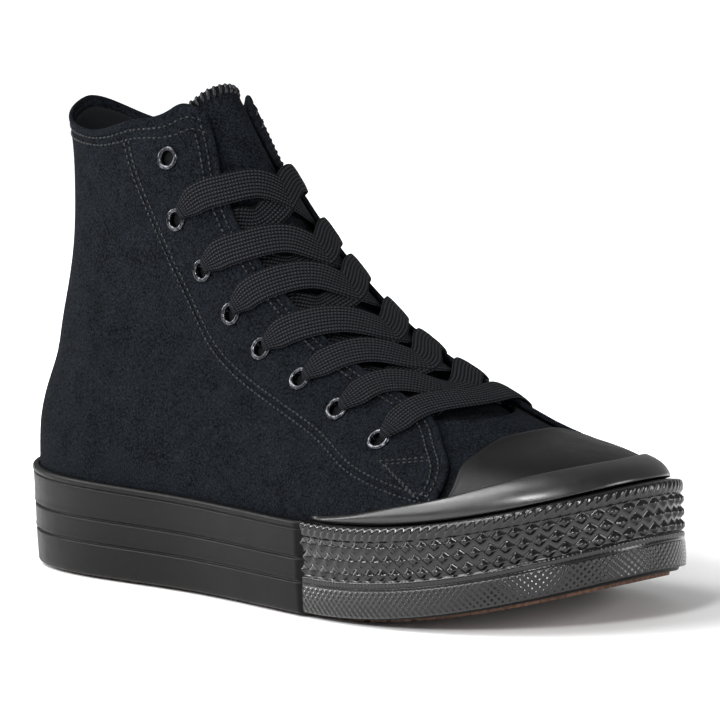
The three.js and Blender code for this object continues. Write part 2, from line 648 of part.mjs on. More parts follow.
// Tongue: under the vamp's edge at its foot, then lower by the room for the lace. half is its reach
// to each side as a share of half the way round.
const tongueForm = columnsOf(
  ["level", "half", "under"],
  [
    [0.42, 0.15, 0],
    [0.5, 0.17, 0.1],
    [0.58, 0.19, 1],
    [0.7, 0.23, 1],
    [0.85, 0.285, 1],
    [1, 0.335, 1],
    [1.03, 0.34, 1],
  ],
);
const TONGUE_FOOT = 0.42;
const TONGUE_TOP = 1.02;
const TONGUE_SHOULDER = 0.024; // how far its top corners lie below its middle, in levels
const tongueTopOut = (level) => {
  const vampDepth = VAMP_DEPTH + VAMP_WALL + GAP;
  return -lerp(vampDepth, QUARTER_WALL + LACE_ROOM, clamp(tongueForm.under(level), 0, 1));
};
function tongue() {
  const [rows, columns] = [12, 9];
  const place = (r, c) => {
    const across = (2 * c) / (columns - 1) - 1;
    const top = TONGUE_TOP - TONGUE_SHOULDER * Math.abs(across) ** 3.5;
    const level = lerp(TONGUE_FOOT, top, r / (rows - 1));
    return [level, Math.PI * (1 + across * tongueForm.half(level))];
  };
  const face = (depth) => (r, c) => {
    const [level, phi] = place(r, c);
    return lastOffset(level, phi, tongueTopOut(level) - depth);
  };
  return wallSolid(rows, columns, false, face(0), face(TONGUE_THICKNESS));
}

// The level and turn of the point of the outer face at x and z on one side, 1 outer or -1 inner.
function onSide(x, z, side) {
  let [low, high] = [FOOT_LEVEL, 1];
  for (let i = 0; i < 30; i++) {
    const level = (low + high) / 2;
    const over = lastPoint(level, side * phiAt(sectionAt(level), x)).z > z;
    if (over) high = level;
    else low = level;
  }
  return [low, side * phiAt(sectionAt(low), x)];
}

// Round patch on the inner side of the ankle.
function anklePatch() {
  const rings = 3;
  const around = 20;
  const place = (r, c) => {
    const radius = (PATCH_DIAMETER / 2) * (r / rings);
    const turn = (2 * Math.PI * c) / around;
    return onSide(PATCH_FROM_HEEL + radius * Math.cos(turn), PATCH_HEIGHT + radius * Math.sin(turn), -1);
  };
  const faceRings = (out) => steps(rings, (share) => share * rings).map((r) =>
    steps(around, (share) => share * around).slice(0, -1)
      .map((c) => lastOffset(...place(r, c), out(r))));
  const crown = (r) => GAP + PATCH_THICKNESS * (r === rings ? 0.45 : 1);
  const front = faceRings(crown);
  const back = faceRings(() => GAP);
  const points = [...front.flat(), ...back.flat()];
  const triangles = [];
  const sheet = (rings + 1) * around;
  const at = (r, c, face) => face * sheet + (r === 0 ? 0 : r * around + (c % around));
  for (let r = 0; r < rings; r++) {
    for (let c = 0; c < around; c++) {
      const [a, b, d, e] = [at(r, c, 0), at(r, c + 1, 0), at(r + 1, c + 1, 0), at(r + 1, c, 0)];
      const [f, g, h, i] = [at(r, c, 1), at(r, c + 1, 1), at(r + 1, c + 1, 1), at(r + 1, c, 1)];
      if (r > 0) triangles.push([a, b, d], [f, h, g]);
      triangles.push([a, d, e], [f, i, h]);
    }
  }
  for (let c = 0; c < around; c++) {
    const [a, b] = [at(rings, c, 0), at(rings, c + 1, 0)];
    const [f, g] = [at(rings, c, 1), at(rings, c + 1, 1)];
    triangles.push([a, b, g], [a, g, f]);
  }
  return meshFrom(points, triangles);
}

// Eyelets, from the lowest pair up: level, turn as a share of half the way round, and across, the
// level at which the line from the eyelet square to the throat meets the quarter's edge.
const EYELETS = [
  { level: 0.436, turn: 0.719, across: 0.528 },
  { level: 0.5, turn: 0.689, across: 0.582 },
  { level: 0.559, turn: 0.663, across: 0.638 },
  { level: 0.617, turn: 0.629, across: 0.69 },
  { level: 0.682, turn: 0.613, across: 0.756 },
  { level: 0.755, turn: 0.604, across: 0.808 },
  { level: 0.837, turn: 0.6, across: 0.887 },
  { level: 0.938, turn: 0.663, across: 0.953 },
];
function eyeletPlaces() {
  return [1, -1].flatMap((side) =>
    EYELETS.map(({ level, turn }, i) => {
      const phi = side * turn * Math.PI;
      const name = `eyelet_${side > 0 ? "outer" : "inner"}_${i + 1}`;
      return { name, point: lastPoint(level, phi), normal: lastNormal(level, phi) };
    }),
  );
}
const AXIS = new THREE.Vector3(0, 1, 0);
const onSeat = (geometry, seat) =>
  geometry
    .applyQuaternion(new THREE.Quaternion().setFromUnitVectors(AXIS, seat.normal))
    .translate(seat.point.x, seat.point.y, seat.point.z);
const EYELET_SIDES = 9;

function eyeletHole(seat) {
  const radius = EYELET_HOLE / 2 + EYELET_WALL + GAP;
  const length = 4 * QUARTER_WALL;
  return onSeat(new THREE.CylinderGeometry(radius, radius, length, EYELET_SIDES), seat);
}

function eyelet(seat) {
  const hole = EYELET_HOLE / 2;
  const flange = EYELET_DIAMETER / 2;
  const profile = [
    [hole + EYELET_WALL / 2, -QUARTER_WALL - GAP / 2],
    [hole + EYELET_WALL, EYELET_SEAT],
    [flange, EYELET_SEAT],
    [flange - EYELET_WALL, EYELET_SEAT + EYELET_FLANGE],
    [hole, EYELET_SEAT + EYELET_FLANGE],
    [hole + EYELET_WALL / 2, -QUARTER_WALL - GAP / 2],
  ].map(([r, h]) => new THREE.Vector2(r, h));
  return onSeat(new THREE.LatheGeometry(profile, EYELET_SIDES), seat);
}

// Lace
// A flat strap through stops of { point, normal, spread }, spread being its width there as a share.
function strap(stops, width, thickness) {
  const corners = [[-0.5, -0.5], [0.5, -0.5], [0.5, 0.5], [-0.5, 0.5]];
  const count = corners.length;
  const points = stops.flatMap(({ point, normal, spread }, i) => {
    const along = stops[Math.min(i + 1, stops.length - 1)].point.clone().sub(stops[Math.max(i - 1, 0)].point);
    const side = along.normalize().clone().cross(normal).normalize();
    const up = side.clone().cross(along).normalize();
    return corners.map(([u, v]) =>
      point.clone().addScaledVector(side, u * width * spread).addScaledVector(up, v * thickness));
  });
  const triangles = [];
  for (let s = 0; s + 1 < stops.length; s++) {
    for (let c = 0; c < count; c++) {
      const next = (c + 1) % count;
      const [a, b, d, e] = [s * count + c, s * count + next, (s + 1) * count + next, (s + 1) * count + c];
      triangles.push([a, d, b], [a, e, d]);
    }
  }
  const end = (stops.length - 1) * count;
  for (let c = 1; c + 1 < count; c++) triangles.push([0, c, c + 1], [end, end + c + 1, end + c]);
  return meshFrom(points, triangles);
}

// Stops over the last, from rows of level, turn, height of the strap's middle over the outer face
// and spread.
const laceStops = (rows) =>
  rows.map(({ level, turn, out, spread }) => {
    const phi = turn * Math.PI;
    return { point: lastOffset(level, phi, out), normal: lastNormal(level, phi), spread };
  });

// Heights of the strap's middle over the outer face.
const OVER_EYELET = EYELET_SEAT + EYELET_FLANGE + 1.5 * GAP + LACE_THICKNESS / 2;
const OVER_QUARTER = 2 * GAP + LACE_THICKNESS / 2;
const UNDER_QUARTER = -(QUARTER_WALL + LACE_ROOM / 2);
const TUCK_MARGIN = 0.054; // how far from the throat's edge a strap stops, as a turn
const CREST_LIFT = 0.012; // how much higher than at the near edge a strap lies at its crest, in levels
const CREST = 0.9; // where its crest is, as a turn
const RIDGE_DROP = 0.25; // share of its fall to the far edge that it has made at the ridge
const FAR = 1.1; // a place past the ridge, as a turn
const FAR_DROP = 0.7; // and the share of the fall that it has made there
const [RIDGE_OUT, FAR_OUT, TUCK_OUT] = [-0.3, -1.9, -2.8];
const UNDER_BAR = 1.1; // how much lower the second row lies at its crest, under the lowest strap

// The level at the throat's edge where the strap of an eyelet goes in on the other side: between its
// own row and the one below.
const tuckLevel = (index) => lerp(EYELETS[index - 1].across, EYELETS[index].across, 0.5);

// The stops of a strap from its eyelet out to the throat's edge.
function nearStops(index) {
  const { level, turn, across } = EYELETS[index];
  const edge = quarterEdge.turn(across);
  return [
    { level, turn: turn - 0.004, out: OVER_EYELET, spread: 0.6 },
    { level: lerp(level, across, 0.35), turn: lerp(turn, edge, 0.3), out: OVER_EYELET, spread: 0.85 },
    { level: lerp(level, across, 0.78), turn: lerp(turn, edge, 0.7), out: OVER_QUARTER + 0.4, spread: 1 },
    { level: across, turn: edge + 0.02, out: OVER_QUARTER + 0.2, spread: 1 },
  ];
}

// Turns stops over to the inner side.
const mirrored = (stops) => stops.map((stop) => ({ ...stop, turn: 2 - stop.turn }));

// One strap of a crossing, from the eyelet on its side up and over to the other side.
function crossingStrap(index, side) {
  const { across } = EYELETS[index];
  const end = tuckLevel(index);
  const drop = index === 1 ? UNDER_BAR : 0;
  const crestOut = (side > 0 ? 0.7 : 0.5) - drop / 4;
  const far = [
    { level: across + CREST_LIFT, turn: CREST, out: crestOut, spread: 1 },
    { level: lerp(across, end, RIDGE_DROP), turn: 1, out: RIDGE_OUT - drop, spread: 1 },
    { level: lerp(across, end, FAR_DROP), turn: FAR, out: FAR_OUT, spread: 1 },
    { level: end, turn: 2 - quarterEdge.turn(end) - TUCK_MARGIN, out: TUCK_OUT, spread: 1 },
  ];
  const stops = [...nearStops(index), ...far];
  return laceStops(side > 0 ? stops : mirrored(stops));
}

const BAR_LEVEL = 0.543;
const BAR_SHOULDER = 0.92;
const BAR_OUT = 1;

// The lowest strap: one bar straight over the foot of the throat.
function lowestBar() {
  const near = nearStops(0);
  const top = { level: BAR_LEVEL, turn: 1, out: BAR_OUT, spread: 1 };
  const beside = { level: BAR_LEVEL, turn: BAR_SHOULDER, out: BAR_OUT, spread: 1 };
  return laceStops([...near, beside, top, ...mirrored([...near, beside]).reverse()]);
}

// Both straps as one solid. A pocket shut in between them is filled.
function laceCrossing(index) {
  const stops = index === 0 ? [lowestBar()] : [1, -1].map((side) => crossingStrap(index, side));
  const straps = stops.map((each) => solidOf(strap(each, LACE_WIDTH, LACE_THICKNESS)));
  const bodies = straps.reduce((joined, each) => joined.add(each)).decompose();
  return geometryOf(bodies.reduce((most, body) => (body.volume() > most.volume() ? body : most)));
}

// The hidden ends, rolled narrow: from the inside of the last laced eyelet in one bend, forward and back
// to the top eyelet.
const LACE_END_WIDTH = 4;
const END_STEPS = 12;
function laceEnd(side) {
  const [from, to] = EYELETS.slice(-2).map(({ level, turn }) => {
    const { x, z } = lastPoint(level, turn * Math.PI);
    return new THREE.Vector2(x, z);
  });
  const middle = from.clone().lerp(to, 0.5);
  const down = from.clone().sub(middle);
  const forward = new THREE.Vector2(-down.y, down.x);
  const bend = steps(END_STEPS, (share) =>
    middle.clone()
      .addScaledVector(down, Math.cos(Math.PI * share))
      .addScaledVector(forward, Math.sin(Math.PI * share)));
  const stops = bend.map(({ x, y }) => {
    const [level, phi] = onSide(x, y, side);
    return { point: lastOffset(level, phi, UNDER_QUARTER), normal: lastNormal(level, phi), spread: 1 };
  });
  return strap(stops, LACE_END_WIDTH, LACE_THICKNESS);
}

// Materials
const finish = (color, roughness, metalness = 0) => new THREE.MeshStandardMaterial({ color, roughness, metalness });
const canvas = finish(0x1c2126, 0.95);
const webbing = finish(0x1d1d1e, 0.9);
const matteRubber = finish(0x2b2b2b, 0.6);
const glossRubber = finish(0x1d1d1d, 0.3);
const gumRubber = finish(0x6b4a3c, 0.75);
const darkMetal = finish(0x24262a, 0.25, 1);
const lining = finish(0x17181a, 0.95);

const shoe = new THREE.Group();
function add(name, geometry, material) {
  const mesh = new THREE.Mesh(geometry, material);
  mesh.name = name;
  shoe.add(mesh);
}

add("outsole", outsole(), gumRubber);
add("sidewall", sidewall(), matteRubber);
add("toe_bumper", toeBumper(), matteRubber);
add("toe_guard", toeGuard(), glossRubber);
add("toe_cap", toeCap(), glossRubber);
add("insole", insole(), lining);
add("upper", upper(), canvas);
add("tongue", tongue(), canvas);
add("ankle_patch", anklePatch(), glossRubber);
eyeletPlaces().forEach((seat) => add(seat.name, eyelet(seat), darkMetal));
steps(6, (share) => Math.round(share * 6)).forEach((i) => add(`lace_crossing_${i + 1}`, laceCrossing(i), webbing));
add("lace_end_outer", laceEnd(1), webbing);
add("lace_end_inner", laceEnd(-1), webbing);

// The origin stands under the middle of the shoe's box, on the floor.
const box = new THREE.Box3().setFromObject(shoe);
const middle = box.getCenter(new THREE.Vector3());
shoe.position.set(-middle.x, -middle.y, -box.min.z);

export default shoe;
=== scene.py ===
"""High top sneaker for the right foot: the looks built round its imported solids.

The row's frame is in metres, with +X to the toe, +Y to the inner side of the foot and +Z up. The shoe's
own sizes are in millimetres from the back of the heel, as in the part's source, and build_mesh turns
them into metres of the row's frame.
"""

import logging
import math
from collections.abc import Callable, Iterable, Sequence
from dataclasses import dataclass, field
from enum import Enum

import bmesh
import bpy
import numpy as np
from mathutils import Matrix, Vector


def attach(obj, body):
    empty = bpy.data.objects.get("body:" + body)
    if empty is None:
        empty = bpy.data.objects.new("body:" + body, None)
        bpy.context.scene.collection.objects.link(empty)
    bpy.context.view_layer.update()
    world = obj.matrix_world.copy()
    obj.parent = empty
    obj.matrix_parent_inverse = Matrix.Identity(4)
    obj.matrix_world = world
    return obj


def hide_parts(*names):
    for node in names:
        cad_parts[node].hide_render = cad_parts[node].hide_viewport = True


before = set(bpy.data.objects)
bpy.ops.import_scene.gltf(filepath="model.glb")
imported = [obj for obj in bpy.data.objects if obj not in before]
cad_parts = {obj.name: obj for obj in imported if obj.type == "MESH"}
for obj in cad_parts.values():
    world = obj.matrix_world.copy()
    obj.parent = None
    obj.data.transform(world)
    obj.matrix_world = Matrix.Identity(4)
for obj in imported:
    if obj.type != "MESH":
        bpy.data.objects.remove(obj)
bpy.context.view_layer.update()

LOG = logging.getLogger("high_top")

ORIGIN = np.array([145.987, 2.020, 0.0])  # the row's origin, from the back of the heel, mm
MM = 0.001
GAP = 0.3  # clearance between neighbouring pieces, mm
BODY = "root"
SIDE_RISE = 142.0  # mm from the foot of the upper's levels to their top, along its side
RIDGE_RISE = 285.0  # the same along the ridge over the instep


def smoothstep(value: np.ndarray, low: float, high: float) -> np.ndarray:
    """Smooth step of value from 0 at low to 1 at high."""
    share = np.clip((np.asarray(value, float) - low) / (high - low), 0, 1)
    return share * share * (3 - 2 * share)


class Spline:
    """Natural cubic spline through columns of values, straight beyond both ends."""

    def __init__(self, knots: Sequence[float], values: Sequence) -> None:
        """Solves for the bends at the knots.

        Args:
            knots: rising places.
            values: one number, or one row of numbers, for each knot.
        """
        self.knots = np.asarray(knots, float)
        table = np.asarray(values, float)
        self.flat = table.ndim == 1
        self.values = table[:, None] if self.flat else table
        count = len(self.knots)
        gaps = np.diff(self.knots)[:, None]
        self.slopes = np.diff(self.values, axis=0) / gaps
        matrix = np.eye(count)
        pull = np.zeros_like(self.values)
        for i in range(1, count - 1):
            matrix[i, i - 1 : i + 2] = gaps[i - 1, 0], 2 * (gaps[i - 1, 0] + gaps[i, 0]), gaps[i, 0]
            pull[i] = 6 * (self.slopes[i] - self.slopes[i - 1])
        self.bends = np.linalg.solve(matrix, pull)

    def __call__(self, place: np.ndarray) -> np.ndarray:
        """The values at the given places, with the columns last."""
        place = np.asarray(place, float)
        at = place.ravel()
        last = len(self.knots) - 2
        i = np.clip(np.searchsorted(self.knots, at, side="right") - 1, 0, last)
        inside = np.clip(at, self.knots[0], self.knots[-1])
        gap = (self.knots[i + 1] - self.knots[i])[:, None]
        a = (self.knots[i + 1] - inside)[:, None] / gap
        b = 1 - a
        bend = (a**3 - a) * self.bends[i] + (b**3 - b) * self.bends[i + 1]
        made = a * self.values[i] + b * self.values[i + 1] + bend * gap**2 / 6
        first_gap, last_gap = np.diff(self.knots)[[0, -1]]
        start = self.slopes[0] - first_gap * self.bends[1] / 6
        end = self.slopes[-1] + last_gap * self.bends[-2] / 6
        beyond = (at - inside)[:, None]
        made = made + beyond * np.where(at[:, None] < self.knots[0], start, end)
        return made[:, 0].reshape(place.shape) if self.flat else made.reshape(*place.shape, -1)


def unit(vectors: np.ndarray) -> np.ndarray:
    """The vectors at length 1."""
    return vectors / np.maximum(np.linalg.norm(vectors, axis=-1, keepdims=True), 1e-12)


# Half widths of a level ring stand at four shares of its length.
STATIONS = (0.0, 0.38, 0.7, 1.0)
TOE_SHIFT_START = 0.4
RING_BASIS = Spline(STATIONS, np.eye(4))

# Rows of the upper, from the side wall's top edge to the collar, as in the part's source.
# level, heel, rise, toe, instep, throat, dip, shift
FOOT_SECTIONS = (
    (0.22, 0.0154, 0.325, 0.9605, 0.463, 0, -0.012, 1),
    (0.34, 0.031, 0.41, 0.9075, 0.561, 0, -0.006, 1),
    (0.44, 0.046, 0.482, 0.8355, 0.66, 0, 0, 0.83),
    (0.54, 0.058, 0.554, 0.743, 0.824, 0, 0, 0.67),
    (0.64, 0.07, 0.6265, 0.644, 1, 0, 0, 0.5),
    (0.74, 0.081, 0.711, 0.548, 1, 0.23, 0, 0.33),
    (0.84, 0.0877, 0.807, 0.466, 1, 0.494, 0, 0.17),
    (0.92, 0.089, 0.904, 0.4075, 1, 0.747, -0.024, 0),
    (1, 0.084, 1, 0.3595, 1, 1, -0.066, 0),
)
# level, ball, ankle, then outer and inner half widths at the four stations
WIDTH_SECTIONS = (
    (0.22, 1, 0, 1.21, 0.73, 0.96, 1.23, 1.21, 0.673, 0.96, 1.23),
    (0.34, 1, 0, 1.115, 0.683, 0.846, 1.115, 1.115, 0.654, 0.865, 1.115),
    (0.44, 1, 0, 1, 0.644, 0.73, 0.96, 1, 0.615, 0.77, 0.96),
    (0.54, 1, 0, 0.904, 0.587, 0.635, 0.808, 0.904, 0.577, 0.673, 0.808),
    (0.64, 0.5, 0.5, 1.098, 0.732, 0.758, 0.915, 1.098, 0.732, 0.81, 0.915),
    (0.74, 0, 1, 1.51, 1.08, 1.1, 1.265, 1.51, 1.08, 1.14, 1.265),
    (0.84, 0, 1, 1.367, 1.04, 1.06, 1.143, 1.367, 1.04, 1.06, 1.143),
    (0.92, 0, 1, 1.245, 1.02, 1.02, 1.06, 1.245, 1.02, 1.02, 1.06),
    (1, 0, 1, 1.143, 1, 0.98, 1.02, 1.143, 1, 0.98, 1.02),
)
FOOT_LEVEL = 0.1  # the level of the side wall's top edge


@dataclass(frozen=True)
class Last:
    """The shoe's form: a stack of level rings from the floor of the cup, 0, to the collar, 1.

    A place on it is a level and an angle phi, which runs from 0 at the heel over the outer side to pi at
    the toe, and on over the inner side. A turn is phi as a share of pi.
    """

    sole_length: float = 292.0
    sole_width: float = 104.0
    foxing_height: float = 37.0
    ball_foxing_height: float = 32.0
    toe_spring: float = 16.0
    spring_start: float = 185.0
    heel_bed: float = 14.0
    ball_bed: float = 11.0
    foxing_wall: float = 2.4
    bumper_thickness: float = 2.0
    collar_height: float = 166.0
    instep_height: float = 82.0
    throat_height: float = 169.0
    ankle_width: float = 49.0
    outsole_proud: float = 1.8
    rim_dip: float = -1.5  # how far the side wall's top edge sags between heel and toe

    def __post_init__(self) -> None:
        """Works out the rings' table once."""
        object.__setattr__(self, "rings", self._rings())

    @property
    def sole_half_widths(self) -> np.ndarray:
        """Outer, then inner half widths of the sole at the four stations."""
        shares = np.array([[1.308, 0.788, 1.096, 1.385], [1.308, 0.712, 1.077, 1.385]])
        return shares * self.sole_width / 2

    @property
    def toe_shift(self) -> float:
        """How far the toe lies over to the inner side."""
        return 0.058 * self.sole_width

    def _rings(self) -> Spline:
        """The rings' sizes over the level: ends, dip, shift and the eight half widths."""
        side_inset = self.foxing_wall + GAP
        toe_inset = side_inset + self.bumper_thickness + GAP
        foot_length = self.sole_length - side_inset - toe_inset

        def end(width: float, inset: float) -> float:
            return math.sqrt((2 * width**2 / self.sole_length - inset) * foot_length / 2)

        halves: list[float] = []
        for at_heel, at_waist, at_ball, at_toe in self.sole_half_widths:
            halves += [end(at_heel, side_inset), at_waist - side_inset]
            halves += [at_ball - 1.05 * toe_inset, end(at_toe, toe_inset)]
        ends = [side_inset, self.foxing_height, self.sole_length - toe_inset, self.ball_foxing_height]
        rows = [[*ends, self.rim_dip, self.toe_shift, *halves]]
        for form, widths in zip(FOOT_SECTIONS, WIDTH_SECTIONS):
            _, heel, rise, toe, instep, throat, dip, shift = form
            half = (widths[1] * self.sole_width + widths[2] * self.ankle_width) / 2
            ridge = instep * self.instep_height + throat * (self.throat_height - self.instep_height)
            row = [heel * self.sole_length, rise * self.collar_height, toe * self.sole_length, ridge]
            row += [dip * self.collar_height, shift * self.toe_shift]
            rows.append(row + [share * half for share in widths[3:]])
        return Spline([FOOT_LEVEL] + [form[0] for form in FOOT_SECTIONS], rows)

    def spring_at(self, x: np.ndarray) -> np.ndarray:
        """How far the sole's underside stands off the floor at x."""
        reach = np.maximum(0, (x - self.spring_start) / (self.sole_length - self.spring_start))
        return self.toe_spring * reach**2

    def bed_at(self, x: np.ndarray) -> np.ndarray:
        """Height of the cup's floor at x."""
        share = np.clip(x / self.sole_length, 0, 1)
        return self.heel_bed + (self.ball_bed - self.heel_bed) * share + self.spring_at(x)

    def rim_at(self, x: np.ndarray) -> np.ndarray:
        """Height of the side wall's lower edge at x."""
        return self.outsole_proud + self.spring_at(x)

    @staticmethod
    def plan(
        heel: np.ndarray, toe: np.ndarray, shift: np.ndarray, widths: np.ndarray, phi: np.ndarray
    ) -> np.ndarray:
        """A ring's points seen from above.

        Args:
            heel, toe: the ring's ends.
            shift: how far its toe lies over.
            widths: eight half widths, last axis.
            phi: the angles.

        Returns:
            x and y, last axis.
        """
        share = (1 - np.cos(phi)) / 2
        basis = RING_BASIS(share)
        outer = (basis * widths[..., :4]).sum(-1)
        inner = (basis * widths[..., 4:]).sum(-1)
        width = np.where(np.sin(phi) >= 0, outer, inner)
        over = np.maximum(0, (share - TOE_SHIFT_START) / (1 - TOE_SHIFT_START)) ** 1.5
        return np.stack([heel + (toe - heel) * share, shift * over - np.sin(phi) * width], -1)

    def point(self, level: np.ndarray, phi: np.ndarray) -> np.ndarray:
        """Points of the upper's outer face."""
        level, phi = np.broadcast_arrays(np.asarray(level, float), np.asarray(phi, float))
        ring = self.rings(np.maximum(level, FOOT_LEVEL))
        heel_x, heel_z, toe_x, toe_z, dip, shift = (ring[..., i] for i in range(6))
        plan = self.plan(heel_x, toe_x, shift, ring[..., 6:], phi)
        share = (1 - np.cos(phi)) / 2
        line = heel_z + (toe_z - heel_z) * share + dip * 4 * share * (1 - share)
        top = line + self.spring_at(plan[..., 0])
        bed = self.bed_at(plan[..., 0]) + GAP
        z = np.where(level < FOOT_LEVEL, bed + (top - bed) * level / FOOT_LEVEL, top)
        return np.concatenate([plan, z[..., None]], -1)

    def normal(self, level: np.ndarray, phi: np.ndarray) -> np.ndarray:
        """Outward normals of the upper's outer face."""
        turn, rise = 0.015, 0.006
        level, phi = np.broadcast_arrays(np.asarray(level, float), np.asarray(phi, float))
        low = np.where(level < FOOT_LEVEL, np.minimum(level, FOOT_LEVEL - 2 * rise), level - rise)
        along = self.point(level, phi + turn) - self.point(level, phi - turn)
        up = self.point(low + 2 * rise, phi) - self.point(low, phi)
        return unit(np.cross(along, up))

    def offset(self, level: np.ndarray, phi: np.ndarray, out: np.ndarray) -> np.ndarray:
        """Points over the outer face by a height, square to it."""
        return self.point(level, phi) + self.normal(level, phi) * np.asarray(out, float)[..., None]

    def sole_plan(self, phi: np.ndarray, inset: np.ndarray) -> np.ndarray:
        """The sole's outline at the angles, moved in square to itself."""
        widths = np.broadcast_to(self.sole_half_widths.ravel(), (*np.shape(phi), 8))

        def at(angle: np.ndarray) -> np.ndarray:
            return self.plan(0.0, self.sole_length, self.toe_shift, widths, angle)

        step = 0.02
        along = unit(at(phi + step) - at(phi - step))
        square = np.stack([-along[..., 1], along[..., 0]], -1)
        return at(phi) + square * np.asarray(inset, float)[..., None]

    def foxing_top(self, phi: np.ndarray) -> np.ndarray:
        """Height of the side wall's top edge."""
        return self.point(FOOT_LEVEL, phi)[..., 2]


CLOTH_MAP = "cloth"
MADE: dict[str, bpy.types.Material] = {}


def linear(code: str) -> tuple[float, float, float, float]:
    """A colour written as six hex digits, in Blender's linear light."""
    parts = [int(code[i : i + 2], 16) / 255 for i in (0, 2, 4)]
    light = [c / 12.92 if c <= 0.04045 else ((c + 0.055) / 1.055) ** 2.4 for c in parts]
    return (light[0], light[1], light[2], 1.0)


class Value:
    """A shader socket that takes part in Python arithmetic."""

    def __init__(self, shader: "Shader", socket: bpy.types.NodeSocket) -> None:
        """Wraps a socket of the shader's tree."""
        self.shader = shader
        self.socket = socket

    def __add__(self, other: "Value | float") -> "Value":
        """self + other."""
        return self.shader.math("ADD", self, other)

    __radd__ = __add__

    def __sub__(self, other: "Value | float") -> "Value":
        """self - other."""
        return self.shader.math("SUBTRACT", self, other)

    def __rsub__(self, other: float) -> "Value":
        """other - self."""
        return self.shader.math("SUBTRACT", other, self)

    def __mul__(self, other: "Value | float") -> "Value":
        """self * other."""
        return self.shader.math("MULTIPLY", self, other)

    __rmul__ = __mul__

    def __truediv__(self, other: "Value | float") -> "Value":
        """self / other."""
        return self.shader.math("DIVIDE", self, other)

    def __abs__(self) -> "Value":
        """Its size without its sign."""
        return self.shader.math("ABSOLUTE", self)

    def sine(self) -> "Value":
        """Its sine."""
        return self.shader.math("SINE", self)

    def fraction(self) -> "Value":
        """What is left over a whole number."""
        return self.shader.math("FRACT", self)

    def at_most(self, other: "Value | float") -> "Value":
        """The lower of the two."""
        return self.shader.math("MINIMUM", self, other)

    def at_least(self, other: "Value | float") -> "Value":
        """The higher of the two."""
        return self.shader.math("MAXIMUM", self, other)

    def step(self, low: float, high: float) -> "Value":
        """Smooth step from 0 at low to 1 at high."""
        limits = {"From Min": low, "From Max": high}
        node = self.shader.node(
            "ShaderNodeMapRange", {"interpolation_type": "SMOOTHSTEP"}, {"Value": self, **limits}
        )
        return Value(self.shader, node.outputs["Result"])


class Shader:
    """A material under construction, round one Principled shader."""

    def __init__(self, name: str) -> None:
        """Starts an empty node tree with its output."""
        self.material = bpy.data.materials.new(name)
        self.material.use_nodes = True
        self.tree = self.material.node_tree
        self.tree.nodes.clear()
        self.surface = self.tree.nodes.new("ShaderNodeBsdfPrincipled")
        output = self.tree.nodes.new("ShaderNodeOutputMaterial")
        self.tree.links.new(self.surface.outputs["BSDF"], output.inputs["Surface"])

    def node(self, kind: str, settings: dict | None = None, sockets: dict | None = None) -> bpy.types.Node:
        """Adds one node.

        Args:
            kind: Blender's name for the node's type.
            settings: its properties, set before its sockets.
            sockets: value or Value for each input, by name or number.

        Returns:
            The node.
        """
        made = self.tree.nodes.new(kind)
        for key, setting in (settings or {}).items():
            setattr(made, key, setting)
        for key, given in (sockets or {}).items():
            self.feed(made.inputs[key], given)
        return made

    def feed(self, socket: bpy.types.NodeSocket, given: "Value | float | Sequence[float]") -> None:
        """Links a Value to a socket, or sets the socket's own value."""
        if isinstance(given, Value):
            self.tree.links.new(given.socket, socket)
        else:
            socket.default_value = given

    def math(self, operation: str, *terms: "Value | float") -> Value:
        """One Math node over its terms."""
        node = self.node("ShaderNodeMath", {"operation": operation}, dict(enumerate(terms)))
        return Value(self, node.outputs["Value"])

    def mix(
        self, share: "Value | float", low: "Value | Sequence[float]", high: "Value | Sequence[float]"
    ) -> Value:
        """The colour between low and high at a share."""
        node = self.node("ShaderNodeMix", {"data_type": "RGBA"}, {0: share, 6: low, 7: high})
        return Value(self, node.outputs[2])

    def place(self) -> Value:
        """The row's own coordinates, in metres."""
        return Value(self, self.node("ShaderNodeTexCoord").outputs["Object"])

    def axes(self, vector: Value) -> tuple[Value, Value, Value]:
        """A vector's three parts."""
        node = self.node("ShaderNodeSeparateXYZ", None, {"Vector": vector})
        return tuple(Value(self, node.outputs[i]) for i in range(3))

    def cloth(self) -> tuple[Value, Value]:
        """Millimetres across and along a piece's own cloth."""
        node = self.node("ShaderNodeUVMap", {"uv_map": CLOTH_MAP})
        across, along, _ = self.axes(Value(self, node.outputs["UV"]))
        return across, along

    def noise(self, size: float, detail: float = 2.0, roughness: float = 0.5) -> Value:
        """Noise whose patches are about size millimetres across."""
        sockets = {"Vector": self.place(), "Scale": 1 / (size * MM)}
        sockets |= {"Detail": detail, "Roughness": roughness}
        return Value(self, self.node("ShaderNodeTexNoise", None, sockets).outputs["Fac"])

    def bump(self, height: Value, depth: float, strength: float = 1.0) -> Value:
        """The normal for a height from 0 to 1, depth millimetres deep."""
        sockets = {"Height": height, "Distance": depth * MM, "Strength": strength}
        return Value(self, self.node("ShaderNodeBump", None, sockets).outputs["Normal"])

    def done(self, **sockets: "Value | float | Sequence[float]") -> bpy.types.Material:
        """Feeds the Principled shader and returns the material. Underscores stand for spaces."""
        for name, given in sockets.items():
            self.feed(self.surface.inputs[name.replace("_", " ")], given)
        return self.material


@dataclass(frozen=True)
class Finish:
    """A finish: one material, made once and shared by the pieces that have it."""

    name: str = "plain"
    slot: str = "canvas"

    def build(self) -> bpy.types.Material:
        """Makes the material."""
        return Shader(self.name).done(Roughness=0.8)

    def material(self) -> bpy.types.Material:
        """The material, made on first use."""
        if self.name not in MADE:
            MADE[self.name] = self.build()
        return MADE[self.name]


